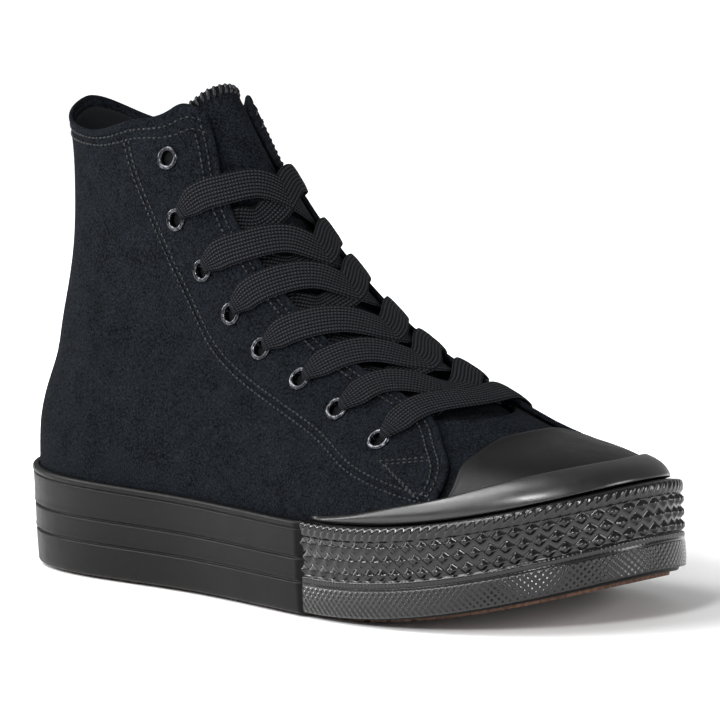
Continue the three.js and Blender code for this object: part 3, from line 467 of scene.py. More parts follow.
@dataclass(frozen=True)
class Canvas(Finish):
    """Brushed blue-black cotton canvas: a fine nap over a close weave."""

    name: str = "canvas"
    slot: str = "canvas"
    dark: str = "030304"
    light: str = "23282e"
    weave: float = 0.9  # pitch of the threads
    nap: float = 0.75  # size of the tufts

    def build(self) -> bpy.types.Material:
        """Makes the material."""
        s = Shader(self.name)
        across, along = s.cloth()
        threads = (across * (2 * math.pi / self.weave)).sine() * (along * (2 * math.pi / self.weave)).sine()
        tufts = s.noise(self.nap, 3.0, 0.7)
        clouds = s.noise(9.0, 2.0)
        flecks = s.noise(0.45, 1.0).step(0.6, 0.8)
        height = tufts * 0.75 + threads * 0.12 + 0.12
        shade = (tufts.step(0.36, 0.7) * 0.6 + clouds.step(0.3, 0.7) * 0.12 + flecks * 0.5).at_most(1.0)
        colour = s.mix(shade, linear(self.dark), linear(self.light))
        return s.done(
            Base_Color=colour,
            Roughness=0.95,
            Specular_IOR_Level=0.04,
            Normal=s.bump(height, 0.45, 0.9),
        )


@dataclass(frozen=True)
class Lining(Finish):
    """Plain woven lining and sock cloth."""

    name: str = "lining"
    slot: str = "lining"
    dark: str = "0b0c0d"
    light: str = "1b1d20"
    pitch: float = 0.7

    def build(self) -> bpy.types.Material:
        """Makes the material."""
        s = Shader(self.name)
        across, along = s.cloth()
        rib = (across * (2 * math.pi / self.pitch)).sine() * (along * (2 * math.pi / self.pitch)).sine()
        patches = s.noise(2.5, 2.0)
        height = rib * 0.3 + patches * 0.4 + 0.3
        colour = s.mix((rib * 0.25 + patches * 0.8).at_most(1.0), linear(self.dark), linear(self.light))
        normal = s.bump(height, 0.2)
        return s.done(Base_Color=colour, Roughness=0.95, Specular_IOR_Level=0.2, Normal=normal)


@dataclass(frozen=True)
class Webbing(Finish):
    """Flat woven lace: lengthwise ribs crossed by short picks."""

    name: str = "webbing"
    slot: str = "webbing"
    dark: str = "000000"
    light: str = "33353a"
    rib: float = 1.3  # from rib to rib
    pick: float = 1.1  # from pick to pick

    def build(self) -> bpy.types.Material:
        """Makes the material."""
        s = Shader(self.name)
        across, along = s.cloth()
        ribs = abs((across * (math.pi / self.rib)).sine())
        lean = abs((across / self.rib).fraction() - 0.5)
        picks = abs(((along + lean * self.pick) * (math.pi / self.pick)).sine())
        height = (ribs * 0.8 + 0.2) * (picks * 0.6 + 0.4)
        fuzz = s.noise(0.5, 2.0)
        # The colour follows the weave's height, down to black in the valleys between ribs and picks and
        # lighter on their tops: painted shade. The lighter flecks from the fuzz are the lace's own loose
        # fibres.
        shade = (height * height + fuzz.step(0.5, 0.8) * 0.35 - 0.06).at_least(0.0).at_most(1.0)
        colour = s.mix(shade, linear(self.dark), linear(self.light))
        return s.done(
            Base_Color=colour,
            Roughness=0.85,
            Specular_IOR_Level=0.06,
            Normal=s.bump(height, 0.7),
        )


@dataclass(frozen=True)
class Thread(Finish):
    """Waxed sewing thread."""

    name: str = "thread"
    slot: str = "canvas"
    dark: str = "010101"
    light: str = "202328"

    def build(self) -> bpy.types.Material:
        """Makes the material."""
        s = Shader(self.name)
        patches = s.noise(1.1, 1.0)
        # The thread is near black; its lighter grey patches stand in for small glints of light on the
        # stitches: painted highlights.
        colour = s.mix(patches.step(0.45, 0.62), linear(self.dark), linear(self.light))
        normal = s.bump(s.noise(0.3, 1.0), 0.08)
        return s.done(Base_Color=colour, Roughness=0.42, Specular_IOR_Level=0.3, Normal=normal)


@dataclass(frozen=True)
class Rubber(Finish):
    """Black moulded rubber with a faint bloom and smears."""

    name: str = "matte_rubber"
    slot: str = "matte_rubber"
    dark: str = "030303"
    light: str = "0e0e0d"
    roughness: float = 0.42
    grain: float = 0.1
    knurl: float = 0.0  # pitch of the crossed lines pressed into its foot, or 0
    knurl_top: float = 0.0  # how far up they reach, mm
    specular: float = 0.13

    def build(self) -> bpy.types.Material:
        """Makes the material."""
        s = Shader(self.name)
        clouds = s.noise(14.0, 3.0, 0.55)
        smears = s.noise(3.0, 3.0, 0.6)
        specks = s.noise(0.5, 2.0, 0.6)
        shade = clouds.step(0.25, 0.75) * 0.5 + smears.step(0.4, 0.8) * 0.25
        shade = shade + specks.step(0.55, 0.85) * 0.25
        height = specks * 0.7 + smears * 0.3
        depth = self.grain
        if self.knurl:
            across, along = s.cloth()
            turn = math.pi / self.knurl
            crossed = (across * turn).sine() * (along * turn).sine()
            above = along.step(self.knurl_top - 0.2, self.knurl_top + 0.2)
            pressed = (crossed * 0.5 + 0.5) * (1.0 - above)
            height = height * 0.1 + pressed * 0.9
            # Within the knurled foot the colour follows the knurl's height, lighter on the raised crossings
            # and darker between them: painted shade in its grooves.
            shade = shade * 0.7 + pressed * 0.3
            depth = 0.4
        rough = self.roughness + (clouds - 0.5) * 0.3 + (smears - 0.5) * 0.12
        return s.done(
            Base_Color=s.mix(shade, linear(self.dark), linear(self.light)),
            Roughness=rough,
            Specular_IOR_Level=self.specular,
            Normal=s.bump(height, depth),
        )


@dataclass(frozen=True)
class Gum(Finish):
    """Gum rubber tread."""

    name: str = "gum_rubber"
    slot: str = "gum_rubber"
    dark: str = "3a2519"
    light: str = "6b4a38"

    def build(self) -> bpy.types.Material:
        """Makes the material."""
        s = Shader(self.name)
        clouds = s.noise(8.0, 3.0)
        grain = s.noise(0.6, 2.0)
        colour = s.mix(clouds.step(0.3, 0.7) * 0.6 + grain * 0.4, linear(self.dark), linear(self.light))
        return s.done(Base_Color=colour, Roughness=0.7, Specular_IOR_Level=0.4, Normal=s.bump(grain, 0.1))


@dataclass(frozen=True)
class DarkMetal(Finish):
    """Dark plated metal of the eyelets."""

    name: str = "dark_metal"
    slot: str = "dark_metal"
    dark: str = "2a2b2e"
    light: str = "5e6064"

    def build(self) -> bpy.types.Material:
        """Makes the material."""
        s = Shader(self.name)
        wear = s.noise(1.2, 2.0)
        colour = s.mix(wear.step(0.4, 0.75), linear(self.dark), linear(self.light))
        rough = 0.16 + wear * 0.12
        return s.done(Base_Color=colour, Metallic=1.0, Roughness=rough, Normal=s.bump(wear, 0.02))


QUARTER_EDGE = Spline(
    (0, 0.1, 0.233, 0.38, 0.453, 0.517, 0.6, 0.729, 0.841, 0.908, 0.953, 1),
    (0.72, 0.722, 0.744, 0.79, 0.819, 0.848, 0.822, 0.783, 0.773, 0.798, 0.829, 0.85),
)
COLLAR_RISE = Spline((0, 0.5, 0.69, 0.85, 0.92, 1), (0, 0, 0.006, 0.0105, 0.013, -0.012))
# What the worn rim adds, from the inner front corner over the heel to the outer one.
COLLAR_SAG = Spline(
    (-1, -0.7, -0.5, -0.3, -0.2, -0.1, 0, 0.1, 0.3, 0.4, 0.5, 0.6, 0.69, 0.78, 0.88, 1),
    (0, 0, -0.008, -0.014, -0.006, 0.003, 0.006, 0.002, 0, 0.003, 0.006, 0.013, 0.016, 0.007, 0, 0),
)
COLLAR_START = 0.86  # the level over which the collar's rise sets in
COLLAR_EDGE = 0.85  # turn of the quarters' front edges at the collar
LAST = Last()

# The eyelets from the lowest pair up: level, turn, and the level where the line across meets the edge.
EYELETS = (
    (0.436, 0.719, 0.528),
    (0.5, 0.689, 0.582),
    (0.559, 0.663, 0.638),
    (0.617, 0.629, 0.69),
    (0.682, 0.613, 0.756),
    (0.755, 0.604, 0.808),
    (0.837, 0.6, 0.887),
    (0.938, 0.663, 0.953),
)


class Side(Enum):
    """The two sides of the foot: +1 the outer side, -1 the inner one."""

    OUTER = 1
    INNER = -1


@dataclass
class Surface:
    """Points in the shoe's own millimetres, their quads, and millimetres along the cloth."""

    points: np.ndarray
    faces: np.ndarray
    cloth: np.ndarray

    @staticmethod
    def joined(parts: Iterable["Surface"]) -> "Surface":
        """All the parts as one."""
        kept = list(parts)
        starts = np.cumsum([0] + [len(part.points) for part in kept])
        return Surface(
            np.concatenate([part.points for part in kept]),
            np.concatenate([part.faces + start for part, start in zip(kept, starts)]),
            np.concatenate([part.cloth for part in kept]),
        )


def grid_faces(rows: int, columns: int, wraps: bool = False, keep: np.ndarray | None = None) -> np.ndarray:
    """Quads of a grid of points, facing the side from which columns run anticlockwise.

    Args:
        rows, columns: the grid's size.
        wraps: whether the last column meets the first.
        keep: which quads stay, or None for all.

    Returns:
        One row of four indices for each quad.
    """
    across = columns if wraps else columns - 1
    r, c = np.meshgrid(np.arange(rows - 1), np.arange(across), indexing="ij")
    if keep is not None:
        r, c = r[keep], c[keep]
    r, c = r.ravel(), c.ravel()
    ahead = (c + 1) % columns
    low, high = r * columns, (r + 1) * columns
    return np.stack([low + c, low + ahead, high + ahead, high + c], -1)


def lengths(points: np.ndarray, axis: int) -> np.ndarray:
    """Distance run along one axis of a grid of points, from 0."""
    steps = np.linalg.norm(np.diff(points, axis=axis), axis=-1)
    first = np.zeros_like(np.take(steps, [0], axis=axis))
    return np.cumsum(np.concatenate([first, steps], axis=axis), axis=axis)


def cloth_of(points: np.ndarray) -> np.ndarray:
    """Millimetres across and along the cloth for a grid of points, from its middle column."""
    across = lengths(points, 1)
    across = across - across[:, [points.shape[1] // 2]]
    along = np.broadcast_to(lengths(points, 0).mean(axis=1, keepdims=True), across.shape)
    return np.stack([across, along], -1)


def sheet(
    outer: np.ndarray, inner: np.ndarray, wraps: bool = False, keep: np.ndarray | None = None
) -> Surface:
    """A closed sheet between two faces of the same grid.

    Args:
        outer, inner: the faces' points, rows by columns by 3.
        wraps: whether the columns run all the way round.
        keep: which quads stay, or None for all.

    Returns:
        The sheet, with its cloth measured on the outer face.
    """
    rows, columns = outer.shape[:2]
    count = rows * columns
    front = grid_faces(rows, columns, wraps, keep)
    back = front[:, ::-1] + count
    at = np.arange(count).reshape(rows, columns)
    strips = []
    for line, flip in ((at[0], False), (at[-1], True)):
        ends = np.stack([line, np.roll(line, -1)], -1)[: None if wraps else -1]
        strips.append((ends, flip))
    if not wraps:
        strips.append((np.stack([at[:-1, 0], at[1:, 0]], -1), True))
        strips.append((np.stack([at[:-1, -1], at[1:, -1]], -1), False))
    edges = []
    for ends, flip in strips:
        a, b = ends[:, 0], ends[:, 1]
        quads = np.stack([a, a + count, b + count, b], -1)
        edges.append(quads[:, ::-1] if flip else quads)
    points = np.concatenate([outer.reshape(-1, 3), inner.reshape(-1, 3)])
    cloth = cloth_of(outer).reshape(-1, 2)
    return Surface(points, np.concatenate([front, back, *edges]), np.concatenate([cloth, cloth]))


def rounding(distance: np.ndarray, radius: float) -> np.ndarray:
    """Share of its thickness that a sheet has at a distance from an edge with a round of radius."""
    return np.sqrt(1 - (1 - np.clip(distance / radius, 0, 1)) ** 2)


def hollow(distance: np.ndarray, width: float) -> np.ndarray:
    """A soft trough, 1 in its middle, over a half width."""
    return np.exp(-((distance / width) ** 2))


def spaced(
    low: float, high: float, step: float, fine: Sequence[float] = (), both: bool = True
) -> np.ndarray:
    """Places from low to high about step apart, with finer ones near the ends.

    Args:
        low, high: the ends.
        step: the usual distance.
        fine: distances from an end at which more places stand, rising.
        both: whether the low end is fine too.

    Returns:
        The places, rising.
    """
    near = np.asarray(fine, float)
    start = low + (near[-1] if both and len(near) else 0)
    stop = high - (near[-1] if len(near) else 0)
    middle = np.linspace(start, stop, max(2, round((stop - start) / step) + 1))
    parts = [low + near if both else near[:0], middle, high - near]
    return np.unique(np.round(np.concatenate([[low], *parts, [high]]), 6))


WELD = 0.002  # corners nearer than this are joined, mm


def finish_piece(
    name: str,
    surface: Surface,
    finish: Finish,
    replaces: Sequence[str] = (),
    sharp: float | None = None,
) -> bpy.types.Object:
    """Makes a piece of the shoe and dresses it.

    Args:
        name: the piece's name.
        surface: its points and faces.
        finish: its finish.
        replaces: CAD nodes that it stands for.
        sharp: angle in degrees over which an edge stays sharp, or None for all smooth.

    Returns:
        The object.
    """
    mesh = bpy.data.meshes.new(name)
    mesh.from_pydata(((surface.points - ORIGIN) * MM).tolist(), [], surface.faces.tolist())
    corners = np.empty(len(mesh.loops), np.int32)
    mesh.loops.foreach_get("vertex_index", corners)
    layer = mesh.uv_layers.new(name=CLOTH_MAP)
    layer.data.foreach_set("uv", surface.cloth[corners].ravel())
    work = bmesh.new()
    work.from_mesh(mesh)
    bmesh.ops.remove_doubles(work, verts=work.verts, dist=WELD * MM)
    bmesh.ops.dissolve_degenerate(work, dist=WELD * MM / 2, edges=work.edges)
    if work.calc_volume(signed=True) < 0:
        LOG.warning("%s was inside out", name)
        bmesh.ops.reverse_faces(work, faces=work.faces)
    work.to_mesh(mesh)
    work.free()
    mesh.polygons.foreach_set("use_smooth", np.ones(len(mesh.polygons), bool))
    if sharp is not None:
        mesh.set_sharp_from_angle(angle=math.radians(sharp))
    mesh.materials.append(finish.material())
    mesh.update()
    made = bpy.data.objects.new(name, mesh)
    bpy.context.scene.collection.objects.link(made)
    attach(made, BODY)
    if replaces:
        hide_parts(*replaces)
    return made


@dataclass(frozen=True)
class Line:
    """A line sewn or laid on the last: points with the outward normal at each."""

    points: np.ndarray
    normals: np.ndarray

    @staticmethod
    def over(level: np.ndarray, turn: np.ndarray, out: float | np.ndarray = 0.0) -> "Line":
        """The line through places on the last, a height over its face."""
        phi = np.asarray(turn) * math.pi
        normals = LAST.normal(level, phi)
        height = np.broadcast_to(out, np.shape(level))[..., None]
        return Line(LAST.point(level, phi) + normals * height, normals)

    def run(self) -> np.ndarray:
        """Distance along the line at each point."""
        return lengths(self.points, 0)

    def spaced(self, step: float) -> "Line":
        """The line with points about step apart."""
        run = self.run()
        at = np.linspace(0, run[-1], max(2, round(run[-1] / step) + 1))
        return Line(
            np.stack([np.interp(at, run, self.points[:, i]) for i in range(3)], -1),
            unit(np.stack([np.interp(at, run, self.normals[:, i]) for i in range(3)], -1)),
        )

    def beside(self, distance: float | np.ndarray) -> "Line":
        """The line moved sideways over the face: to the left of its run, seen from outside."""
        along = unit(np.gradient(self.points, axis=0))
        left = unit(np.cross(self.normals, along))
        return Line(self.points + left * np.broadcast_to(distance, len(self.points))[:, None], self.normals)


def on_side(x: np.ndarray, z: np.ndarray, side: Side) -> tuple[np.ndarray, np.ndarray]:
    """The level and phi of the point of the last at x and z on one side."""
    x, z = np.broadcast_arrays(np.asarray(x, float), np.asarray(z, float))

    def phi_at(level: np.ndarray) -> np.ndarray:
        ring = LAST.rings(level)
        share = np.clip((x - ring[..., 0]) / (ring[..., 2] - ring[..., 0]), 0, 1)
        return side.value * np.arccos(1 - 2 * share)

    low, high = np.full(x.shape, FOOT_LEVEL), np.ones(x.shape)
    for _ in range(30):
        level = (low + high) / 2
        over = LAST.point(level, phi_at(level))[..., 2] > z
        high = np.where(over, level, high)
        low = np.where(over, low, level)
    return low, phi_at(low)


@dataclass(frozen=True)
class Stitch:
    """One lock stitch: a short thread that rises out of the cloth and dips back in."""

    length: float = 1.9
    pitch: float = 2.25
    radius: float = 0.36
    rise: float = 0.1
    dip: float = 0.4
    rings: int = 7
    sides: int = 6

    def along(self, line: Line, lean: float = 0.0) -> Surface:
        """Stitches all along a line.

        Args:
            line: where they run.
            lean: how far each is turned off the line, radians.

        Returns:
            One surface of them all.
        """
        run = line.run()[-1]
        count = max(1, round(run / self.pitch))
        stops = line.spaced(run / count / 2)
        places, normals = stops.points[1::2][:count], stops.normals[1::2][:count]
        along = unit(np.gradient(stops.points, axis=0))[1::2][:count]
        side = unit(np.cross(normals, along))
        along = along * math.cos(lean) + side * math.sin(lean)
        side = unit(np.cross(normals, along))
        share = np.linspace(-1, 1, self.rings)
        spine = self.rise - self.dip * share**2 * 1.4
        body = self.radius * np.sqrt(np.clip(1.02 - share**4, 0.02, 1))
        angle = np.arange(self.sides) * 2 * math.pi / self.sides
        local_along = np.broadcast_to((share * self.length / 2)[:, None], (self.rings, self.sides))
        local_side = body[:, None] * np.cos(angle)
        local_up = spine[:, None] + body[:, None] * np.sin(angle)
        points = (
            places[:, None, None]
            + along[:, None, None] * local_along[..., None]
            + side[:, None, None] * local_side[..., None]
            + normals[:, None, None] * local_up[..., None]
        )
        one = grid_faces(self.rings, self.sides, wraps=True)
        size = self.rings * self.sides
        faces = (one[None] + np.arange(len(places))[:, None, None] * size).reshape(-1, 4)
        cloth = np.zeros((len(places) * size, 2))
        cloth[:, 0] = np.tile(np.repeat(np.arange(self.rings), self.sides), len(places))
        return Surface(points.reshape(-1, 3), faces, cloth)


@dataclass(frozen=True)
class Ribbon:
    """A flat woven strap swept along a line."""

    width: float
    thickness: float
    crown: float = 0.4  # how far its middle stands over its edges, as a share of its thickness
    power: float = 0.5  # of its outline: 1 is an ellipse, and less is squarer

    def outline(self, count: int = 18) -> np.ndarray:
        """Its cross-section as side and up, each from -1 to 1, once round."""
        angle = np.arange(count) * 2 * math.pi / count
        parts = (np.cos(angle), np.sin(angle))
        return np.stack([np.sign(part) * abs(part) ** self.power for part in parts], -1)

    def swept(self, line: Line, spread: np.ndarray, depth: np.ndarray) -> Surface:
        """Sweeps it along a line.

        Args:
            line: its middle.
            spread: its width at each point, as a share of its full width.
            depth: its thickness there, as a share of its full thickness.

        Returns:
            The closed strap.
        """
        along = unit(np.gradient(line.points, axis=0))
        side = unit(np.cross(along, line.normals))
        up = unit(np.cross(side, along))
        section = self.outline()
        half = self.width / 2 * spread
        thick = self.thickness / 2 * depth
        lift = 1 - self.crown + self.crown * (1 - section[:, 0] ** 2)
        points = (
            line.points[:, None]
            + side[:, None] * (half[:, None] * section[:, 0])[..., None]
            + up[:, None] * (thick[:, None] * section[:, 1] * lift)[..., None]
        )
        shut = [np.broadcast_to(line.points[i], (1, points.shape[1], 3)) for i in (0, -1)]
        points = np.concatenate([shut[0], points, shut[1]])
        rows, columns = points.shape[:2]
        run = np.concatenate([[0], line.run(), [line.run()[-1]]])
        cloth = np.stack(
            [
                np.broadcast_to(self.width / 2 * section[:, 0], (rows, columns)),
                np.broadcast_to(run[:, None], (rows, columns)),
            ],
            -1,
        )
        faces = grid_faces(rows, columns, wraps=True)[:, ::-1]
        return Surface(points.reshape(-1, 3), faces, cloth.reshape(-1, 2))


CANVAS = Canvas()
LINING = Lining()
WEBBING = Webbing()
THREAD = Thread()
STITCH = Stitch()

# The diagonal seam of the quarters, from the foot to the collar.
SEAM = Spline(
    (0.272, 0.332, 0.43, 0.462, 0.526, 0.683, 0.772, 0.853, 0.911, 1.0),
    (0.686, 0.648, 0.62, 0.597, 0.548, 0.532, 0.531, 0.528, 0.53, 0.574),
)


def collar_level(level: np.ndarray, share: np.ndarray) -> np.ndarray:
    """The level with the collar's rise at a share of the way from the heel to a front edge.

    Args:
        level: levels on the last.
        share: 0 at the heel, 1 at the outer side's front edge and -1 at the inner one's.

    Returns:
        The levels, raised near the rim.
    """
    rise = COLLAR_RISE(np.clip(abs(share), 0, 1)) + COLLAR_SAG(np.clip(share, -1, 1))
    return level + smoothstep(level, COLLAR_START, 1) * rise


CURL_DEPTH = 2.5  # mm
CURL_LEVELS = (0.855, 0.93)  # where it sets in, and where it is full
CURL_REACH = 9.0  # mm from the edge


def edge_curl(level: np.ndarray, from_edge: np.ndarray) -> np.ndarray:
    """How far the inner quarter's front edge bends in over the tongue below the collar, mm."""
    return CURL_DEPTH * smoothstep(level, *CURL_LEVELS) * (1 - smoothstep(from_edge, 0.0, CURL_REACH))


@dataclass(frozen=True)
class Crease:
    """A soft crease on the last, along a few places of level and turn."""

    places: tuple[tuple[float, float], ...]
    depth: float  # mm, a ridge where it is below 0
    width: float  # mm, to where it is a third as deep

    def height(self, points: np.ndarray) -> np.ndarray:
        """How far it moves points of the face along their normals."""
        levels, turns = np.array(self.places).T
        share = np.linspace(0, 1, len(levels))
        fine = np.linspace(0, 1, 24)
        spine = Line.over(Spline(share, levels)(fine), Spline(share, turns)(fine)).points
        gaps = np.linalg.norm(points[..., None, :] - spine, axis=-1)
        nearest = gaps.min(-1)
        fade = np.interp(gaps.argmin(-1), (0, 7, 16, 23), (0.25, 1, 1, 0.25))
        return -self.depth * fade * hollow(nearest, self.width)


@dataclass
class Upper:
    """The canvas upper: both quarters, the vamp, their lining and all their sewing."""

    wall: float = 1.5
    lining_wall: float = 0.7
    foot_level: float = 0.07
    rim: float = 2.4  # width of the folded binding at the collar
    rim_rise: float = 0.3
    overlap_rise: float = 0.4  # step where the front part lies over the seam
    seam_rows: tuple[float, float] = (-1.3, 1.3)
    collar_rows: tuple[float, float] = (3.1, 5.6)
    throat_rows: tuple[float, float] = (3.3, 5.9)
    # A sewn patch at the foot of the outer quarter's front: level and turn of its corners.
    patch: tuple[tuple[float, float], ...] = ((0.385, 0.762), (0.363, 0.696), (0.225, 0.718))
    patch_rows: tuple[float, float] = (0.0, 0.012)  # how far in from the corners, in levels
    trough: float = 0.3  # depth of the groove along a sewn row
    trough_width: float = 0.7
    edge_round: float = 0.85
    fold: tuple[float, float] = (1.3, 1.1)  # middle and width of the throat's folded edge
    pucker: float = 0.09
    vamp_depth: float = 1.9
    vamp_wall: float = 1.6
    eyelet_cut: float = 3.1
    creases: tuple[Crease, ...] = (
        Crease(((0.42, 0.1), (0.4, 0.25), (0.43, 0.4)), 1.1, 9.0),
        Crease(((0.52, 0.2), (0.5, 0.32), (0.47, 0.44)), -0.7, 8.0),
        Crease(((0.6, 0.3), (0.56, 0.42), (0.5, 0.52)), 0.8, 6.0),
        Crease(((0.3, 0.42), (0.36, 0.52), (0.44, 0.58)), 0.8, 6.0),
        Crease(((0.22, 0.5), (0.28, 0.58), (0.34, 0.64)), -0.6, 5.0),
        Crease(((0.72, 0.35), (0.7, 0.45), (0.66, 0.52)), 0.5, 7.0),
        Crease(((0.42, -0.1), (0.4, -0.25), (0.43, -0.4)), 1.0, 9.0),
        Crease(((0.52, -0.2), (0.5, -0.32), (0.47, -0.44)), -0.7, 8.0),
        Crease(((0.6, -0.32), (0.55, -0.44), (0.49, -0.54)), 0.8, 6.0),
        Crease(((0.3, -0.42), (0.36, -0.52), (0.44, -0.6)), 0.8, 6.0),
        Crease(((0.72, -0.35), (0.7, -0.45), (0.66, -0.52)), 0.5, 7.0),
    )

    def quarter_grid(self) -> tuple[np.ndarray, np.ndarray, np.ndarray, int]:
        """Levels and angles of the quarters' face.

        Returns:
            level and phi as grids, the share from heel to edge, and how many columns lie before the
            outer seam from the middle one.
        """
        near_rim = (0.15, 0.4, 0.75, 1.2, 1.7, 2.1, 2.35, 2.55, 2.8, 3.1, 3.5, 4.1, 4.8, 5.6, 6.4, 7.4)
        rows = spaced(self.foot_level, 1.0, 0.0125, np.array(near_rim) / SIDE_RISE, both=False)
        behind = spaced(0, 1, 1 / 52, (0.004, 0.008, 0.012, 0.018, 0.025, 0.035, 0.05), both=False)
        ahead = spaced(0, 1, 1 / 30, (0.005, 0.012, 0.022, 0.035, 0.05, 0.075, 0.1))
        level = rows[:, None]
        edge = QUARTER_EDGE(level)
        seam = np.minimum(SEAM(np.maximum(level, 0.2)), edge - 0.01)
        outer = np.concatenate([behind * seam, seam + ahead[1:] * (edge - seam)], 1)
        share = np.concatenate([-outer[:, :0:-1], outer], 1) / edge
        turn = np.concatenate([-outer[:, :0:-1], outer], 1)
        level = np.broadcast_to(level, turn.shape)
        return level, turn * math.pi, share, len(behind) - 1

    def build_quarters(self) -> bpy.types.Object:
        """Makes both quarters as one sheet round the heel."""
        level, phi, share, to_seam = self.quarter_grid()
        placed = collar_level(level, share)
        face = LAST.point(placed, phi)
        normal = LAST.normal(placed, phi)
        middle = face.shape[1] // 2
        across = lengths(face, 1)
        along = lengths(face, 0)
        from_top = along[[-1]] - along
        from_edge = np.minimum(across, across[:, [-1]] - across)
        outer_seam, inner_seam = across[:, [middle + to_seam]], across[:, [middle - to_seam]]
        past_seam = np.maximum(across - outer_seam, inner_seam - across)
        relief = self.overlap_rise * smoothstep(past_seam, -0.1, 0.5)
        relief = relief * smoothstep(from_top, 1.5, 5)
        relief = relief + self.rim_rise * (1 - smoothstep(from_top, self.rim, self.rim + 0.35))
        below_rim = smoothstep(from_top, 6, 9)
        for row in self.seam_rows:
            relief = relief - self.trough * hollow(past_seam - row, self.trough_width) * below_rim
        for row in self.collar_rows:
            relief = relief - self.trough * hollow(from_top - row, self.trough_width)
        for row in self.throat_rows:
            relief = relief - self.trough * hollow(from_edge - row, self.trough_width)
        fold_middle, fold_width = self.fold
        folded = hollow(from_edge - fold_middle, fold_width)
        relief = relief + self.rim_rise * folded * smoothstep(from_top, 1, 4)
        relief = relief + self.puckers(face, from_top, from_edge, past_seam)
        relief = relief - edge_curl(level, from_edge) * (phi < 0)
        calm = smoothstep(from_edge, 1, 7) * smoothstep(from_top, 1, 8)
        for crease in self.creases:
            relief = relief + crease.height(face) * calm
        share_of_wall = rounding(np.minimum(from_top, from_edge), self.edge_round)
        deep = self.wall / 2
        outer = face + normal * (relief - deep + deep * share_of_wall)[..., None]
        inner = face + normal * (np.minimum(relief, 0.3) - deep - deep * share_of_wall)[..., None]
        centre = (face[:-1, :-1] + face[1:, 1:]) / 2
        keep = np.ones(centre.shape[:2], bool)
        for seat_level, seat_turn, _ in EYELETS:
            for side in Side:
                seat = LAST.point(seat_level, side.value * seat_turn * math.pi)
                keep &= np.linalg.norm(centre - seat, axis=-1) > self.eyelet_cut
        return finish_piece("quarters", sheet(outer, inner, keep=keep), CANVAS, ["upper"])

    def puckers(
        self, face: np.ndarray, from_top: np.ndarray, from_edge: np.ndarray, past_seam: np.ndarray
    ) -> np.ndarray:
        """Small pulls in the cloth beside the sewing."""
        near = np.minimum(np.minimum(abs(from_top - 4.3), abs(from_edge - 4.7)), abs(past_seam))
        x, z = face[..., 0], face[..., 2]
        wave = np.sin(x * 1.15 + z * 0.9) * np.sin(z * 0.75 - x * 0.4)
        return self.pucker * wave * hollow(near, 4.0)

    def build_vamp(self) -> bpy.types.Object:
        """Makes the vamp, which runs in under both quarters."""
        level = spaced(self.foot_level, 0.512, 0.011, (0.002, 0.005, 0.01), both=False)[:, None]
        start = QUARTER_EDGE(level) - 0.05
        across = np.linspace(-1, 1, 97)
        turn = 1 + (1 - start) * across
        level = np.broadcast_to(level, turn.shape)
        face = LAST.point(level, turn * math.pi)
        normal = LAST.normal(level, turn * math.pi)
        along = lengths(face, 0)
        share = rounding(along[[-1]] - along, 0.8)
        deep = self.vamp_wall / 2
        middle = -self.vamp_depth - deep
        outer = face + normal * (middle + deep * share)[..., None]
        inner = face + normal * (middle - deep * share)[..., None]
        return finish_piece("vamp", sheet(outer, inner), CANVAS)

    def build_lining(self) -> bpy.types.Object:
        """Makes the lining inside the quarters."""
        level = spaced(self.foot_level, 0.979, 0.025, (0.003, 0.008, 0.015), both=False)[:, None]
        edge = QUARTER_EDGE(level) - 0.012
        share = np.linspace(-1, 1, 121)
        turn = edge * share
        placed = collar_level(np.broadcast_to(level, turn.shape), share)
        face = LAST.point(placed, turn * math.pi)
        normal = LAST.normal(placed, turn * math.pi)
        across, along = lengths(face, 1), lengths(face, 0)
        from_edge = np.minimum(across, across[:, [-1]] - across)
        thick = self.lining_wall * rounding(np.minimum(from_edge, along[[-1]] - along), 1.5)
        depth = 1.35 + edge_curl(level, from_edge + 1.5) * (turn < 0)
        outer = face - normal * depth[..., None]
        inner = face - normal * (depth + thick)[..., None]
        return finish_piece("quarter_lining", sheet(outer, inner), LINING)

    def sew(self) -> bpy.types.Object:
        """Sews the collar, the throat's edges, the diagonal seams and the patch at their foot."""
        rows: list[Surface] = []
        for side in Side:
            sign = side.value
            level = np.linspace(0.205, 1.0, 260)
            edge = QUARTER_EDGE(level)
            seam = np.minimum(SEAM(level), edge - 0.01)
            placed = collar_level(level, sign * seam / edge)
            diagonal = Line.over(placed, seam * sign)
            rest = diagonal.run()[-1] - diagonal.run()
            for row in self.seam_rows:
                lift = self.overlap_rise if row > 0 else 0.0
                kept = rest > 6.5
                moved = diagonal.beside(-sign * row)
                line = Line(moved.points[kept] + moved.normals[kept] * lift, moved.normals[kept])
                rows.append(STITCH.along(line))
            placed = collar_level(level, np.full_like(level, sign))
            front = Line.over(placed, edge * sign, self.overlap_rise)
            rest = front.run()[-1] - front.run()
            for row in self.throat_rows:
                kept = rest > row
                moved = front.beside(sign * row)
                curl = edge_curl(level, np.full_like(level, row))[:, None] * (side is Side.INNER)
                points = moved.points - moved.normals * (curl + 0.2 * (side is Side.INNER))
                rows.append(STITCH.along(Line(points[kept], moved.normals[kept])))
        share = np.linspace(-0.965, 0.965, 500)
        rim_level = collar_level(np.ones_like(share), share)
        for row in self.collar_rows:
            top = Line.over(rim_level - row / SIDE_RISE, share * COLLAR_EDGE)
            ahead = abs(share) * COLLAR_EDGE > 0.585
            lift = np.where(ahead, self.overlap_rise * 0.8, 0.0)
            lift = lift - edge_curl(np.ones_like(share), top.run() + 3.7) * (share < 0)
            line = Line(top.points + top.normals * lift[:, None], top.normals)
            rows.append(STITCH.along(line))
        for row in self.patch_rows:
            places = np.array(self.patch) + (-row * 0.9, row * 0.35)
            share = np.linspace(0, 1, len(places))
            for low, high in ((0, 0.5), (0.5, 1)):
